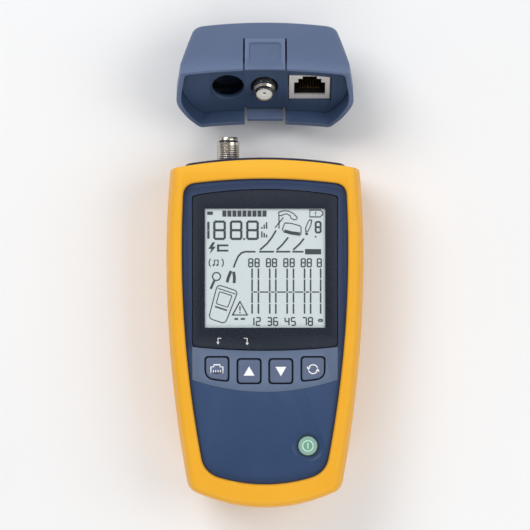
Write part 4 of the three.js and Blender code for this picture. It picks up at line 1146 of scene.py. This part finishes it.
def make_adapter():
    skin, wall = CAP["skin"], CAP["wall"]
    whole = keep_inside(cap_body("cap", skin, "cap_blue"), above_arch(CAP["lip"]))
    cut(whole, cap_lead_in())
    # The hollow leaves the darker inside look on the shell's inner walls: painted shade.
    cut(whole, cap_body("cap_hollow", skin + wall, "inside"), keep_look=True)
    front_z, rear_z = DEPTH - skin - wall - 3.0, skin + wall + 3.0
    front, rear, front_tab, rear_tab = [
        copy_of(whole, f"cap_{part}") for part in ("front", "rear", "front_tab", "rear_tab")
    ]
    bpy.data.objects.remove(whole, do_unlink=True)
    seam = 0.09
    cut(front, block((-60, 0, -9), (60, 130, SPLIT_Z + seam)),
        latch_block(FRONT_LATCH, FRONT_LATCH["slot"], 40, FRONT_LATCH["root"], front_z, HIGH))
    cut(rear, block((-60, 0, SPLIT_Z - seam), (60, 130, HIGH)),
        latch_block(REAR_LATCH, REAR_LATCH["slot"], 40, REAR_LATCH["root"], -9, rear_z))
    screw_x = Box("adapter_screw_right").mid.x
    for side in (-1, 1):
        cut(rear, turned("well", [(-2.0, 2.0), (13.6, 2.0)], side * screw_x, 73.0, "blue"))
    front_root, rear_root, thin_end = FRONT_LATCH["root"], REAR_LATCH["root"], CAP["face"] + 4.0
    keep_inside(front_tab, latch_block(FRONT_LATCH, 0.12, 40, front_root - 0.04, front_z, HIGH))
    dish = rounded(rectangle(-6.1, 6.1, 55.0, front_root - 2.4), 1.6)
    cut(front_tab, prism("dish", dish, DEPTH - skin - 0.3, HIGH),
        block((-20, 40, 0), (20, thin_end, DEPTH - skin - 1.55)))
    keep_inside(rear_tab, latch_block(REAR_LATCH, 0.0, REAR_LATCH["tip"], rear_root - 0.1, -9, rear_z))
    cut(rear_tab, block((-20, 40, skin + 1.3), (20, thin_end, HIGH)))
    pieces = (
        (front, "adapter", "adapter_front_shell"), (rear, "adapter", "adapter_rear_shell"),
        (front_tab, "adapter_front_latch", "adapter_front_latch"),
        (rear_tab, "adapter_rear_latch", "adapter_rear_latch"),
    )
    for obj, rides_on, node in pieces:
        obj.data.transform(ADAPTER)
        finish_cut(obj, rides_on, "case_blue", node)
    make_port_plate()
    make_f_jack("adapter_f_thread", "adapter_f_jack", 73.9, 10.1, -1, "adapter", ADAPTER, CAP_JACK_X)
    x = Box("adapter_rj45_shield").mid.x
    face = CAP["face"] + arch(x) + 0.2
    make_rj45("adapter_rj45_can", "adapter_rj45", x, face, 11.8, -1, "adapter", ADAPTER)


def make_port_plate():
    skin, y = CAP["skin"] + CAP["wall"] + AIR, CAP["face"]
    plate = keep_inside(cap_body("cap_plate", skin, "dark"), above_arch(y))
    keep_inside(plate, below_arch(y + CAP["plate"]))
    lip, clear = 0.7, 1.4
    hole = [(40.0, HOLE_R + lip), (y - 0.6, HOLE_R + lip), (y + lip - 0.6, HOLE_R), (95.0, HOLE_R)]
    cut(plate, lathe("hole", hole, F_JACK.mid.x, "dark"))
    cut(plate, lathe("hole", [(40.0, 5.4), (95.0, 5.4)], CAP_JACK_X, "dark"))
    cut(plate, jack_hole(Box("adapter_rj45_shield").mid.x))
    cut(plate, latch_block(FRONT_LATCH, clear, 40, 95, DEPTH - skin - clear, HIGH),
        latch_block(REAR_LATCH, clear, 40, 95, -9, skin + clear))
    plate.data.transform(ADAPTER)
    one_look(plate, "dark")
    finish_cut(plate, "adapter", "case_dark", "adapter_port_plate")


# ---- CAD pieces that keep their shape ----

KEPT = {
    "steel": ["battery_contact_low", "battery_contact_high", "adapter_screw_left", "adapter_screw_right"]
    + [f"case_screw_{i}" for i in range(1, 5)],
    "nickel": ["f_jack_nut", "adapter_f_jack_nut"],
    "gold": ["rj45_contacts", "adapter_rj45_contacts"],
    "black": ["processor_chip", "line_transformer", "buzzer"],
    "cell": ["battery_left", "battery_right"],
    "groove": ["keypad_mat"],
    "lcd": ["lcd_glass"],
    "white": ["backlight"],
    "board": ["main_board"],
    "black_board": ["adapter_board"],
    "resistor": ["termination_resistor"],
}


def dress_kept():
    for look, nodes in KEPT.items():
        for node in nodes:
            obj = frame["nodes"][node]
            if not obj.material_slots:
                obj.data.materials.append(LOOKS[look])
            for slot in obj.material_slots:
                slot.material = LOOKS[look]


# ---- Studio ----

CAMERA_HEIGHT = 1000.0  # over the tester's face
VIEW_WIDTH = 204.6  # what the picture spans at the tester's face


def make_camera():
    data = bpy.data.cameras.new("camera")
    data.sensor_width = 36.0
    data.lens = data.sensor_width * CAMERA_HEIGHT / VIEW_WIDTH
    data.clip_end = 10.0
    camera = bpy.data.objects.new("camera", data)
    bpy.context.scene.collection.objects.link(camera)
    low, high = cad_box
    middle_y = (low.y + high.y) / 2 / MM + 0.15
    camera.location = Vector((0, middle_y, DEPTH + CAMERA_HEIGHT)) * MM
    bpy.context.scene.camera = camera


def soft_light(name, place, aim, size, power):
    data = bpy.data.lights.new(name, "AREA")
    data.shape = "RECTANGLE"
    data.size, data.size_y = size
    data.energy = power
    light = bpy.data.objects.new(name, data)
    light.location = place
    light.rotation_euler = (Vector(aim) - Vector(place)).to_track_quat("-Z", "Y").to_euler()
    bpy.context.scene.collection.objects.link(light)


def make_studio():
    floor_material = Nodes("floor_paper")
    tone = floor_material.ramp(floor_material.noise(3.0), (0.92, 0.92, 0.92), (0.95, 0.95, 0.95))
    floor_material.set(Base_Color=tone)
    floor_material.set(Roughness=floor_material.spread(floor_material.noise(60.0), 0.75, 0.9))
    floor_material.bump(floor_material.noise(900.0), 0.05, 0.1)
    half = 1500.0
    mesh = bpy.data.meshes.new("floor")
    corners = ((-half, -half, 0), (half, -half, 0), (half, half, 0), (-half, half, 0))
    mesh.from_pydata([Vector(p) * MM for p in corners], [], [(0, 1, 2, 3)])
    floor = bpy.data.objects.new("floor", mesh)
    bpy.context.scene.collection.objects.link(floor)
    floor.data.materials.append(floor_material.material)
    floor.location.z = -0.0001
    world = bpy.data.worlds.new("studio")
    world.use_nodes = True
    world.node_tree.nodes["Background"].inputs["Color"].default_value = (0.95, 0.97, 1.0, 1)
    world.node_tree.nodes["Background"].inputs["Strength"].default_value = 0.38
    bpy.context.scene.world = world
    soft_light("key_light", (-0.45, 0.55, 0.75), (0, 0.02, 0), (0.6, 0.5), 4.6)
    soft_light("fill_light", (0.6, 0.1, 0.7), (0, 0.02, 0), (0.6, 0.6), 2.5)
    soft_light("low_light", (0.0, -0.6, 0.5), (0, 0.02, 0), (0.8, 0.3), 1.6)
    bpy.context.scene.view_settings.view_transform = "Standard"


make_camera()
make_studio()
make_holster()
make_case()
make_display()
make_keys()
make_end()
make_door()
make_adapter()
dress_kept()
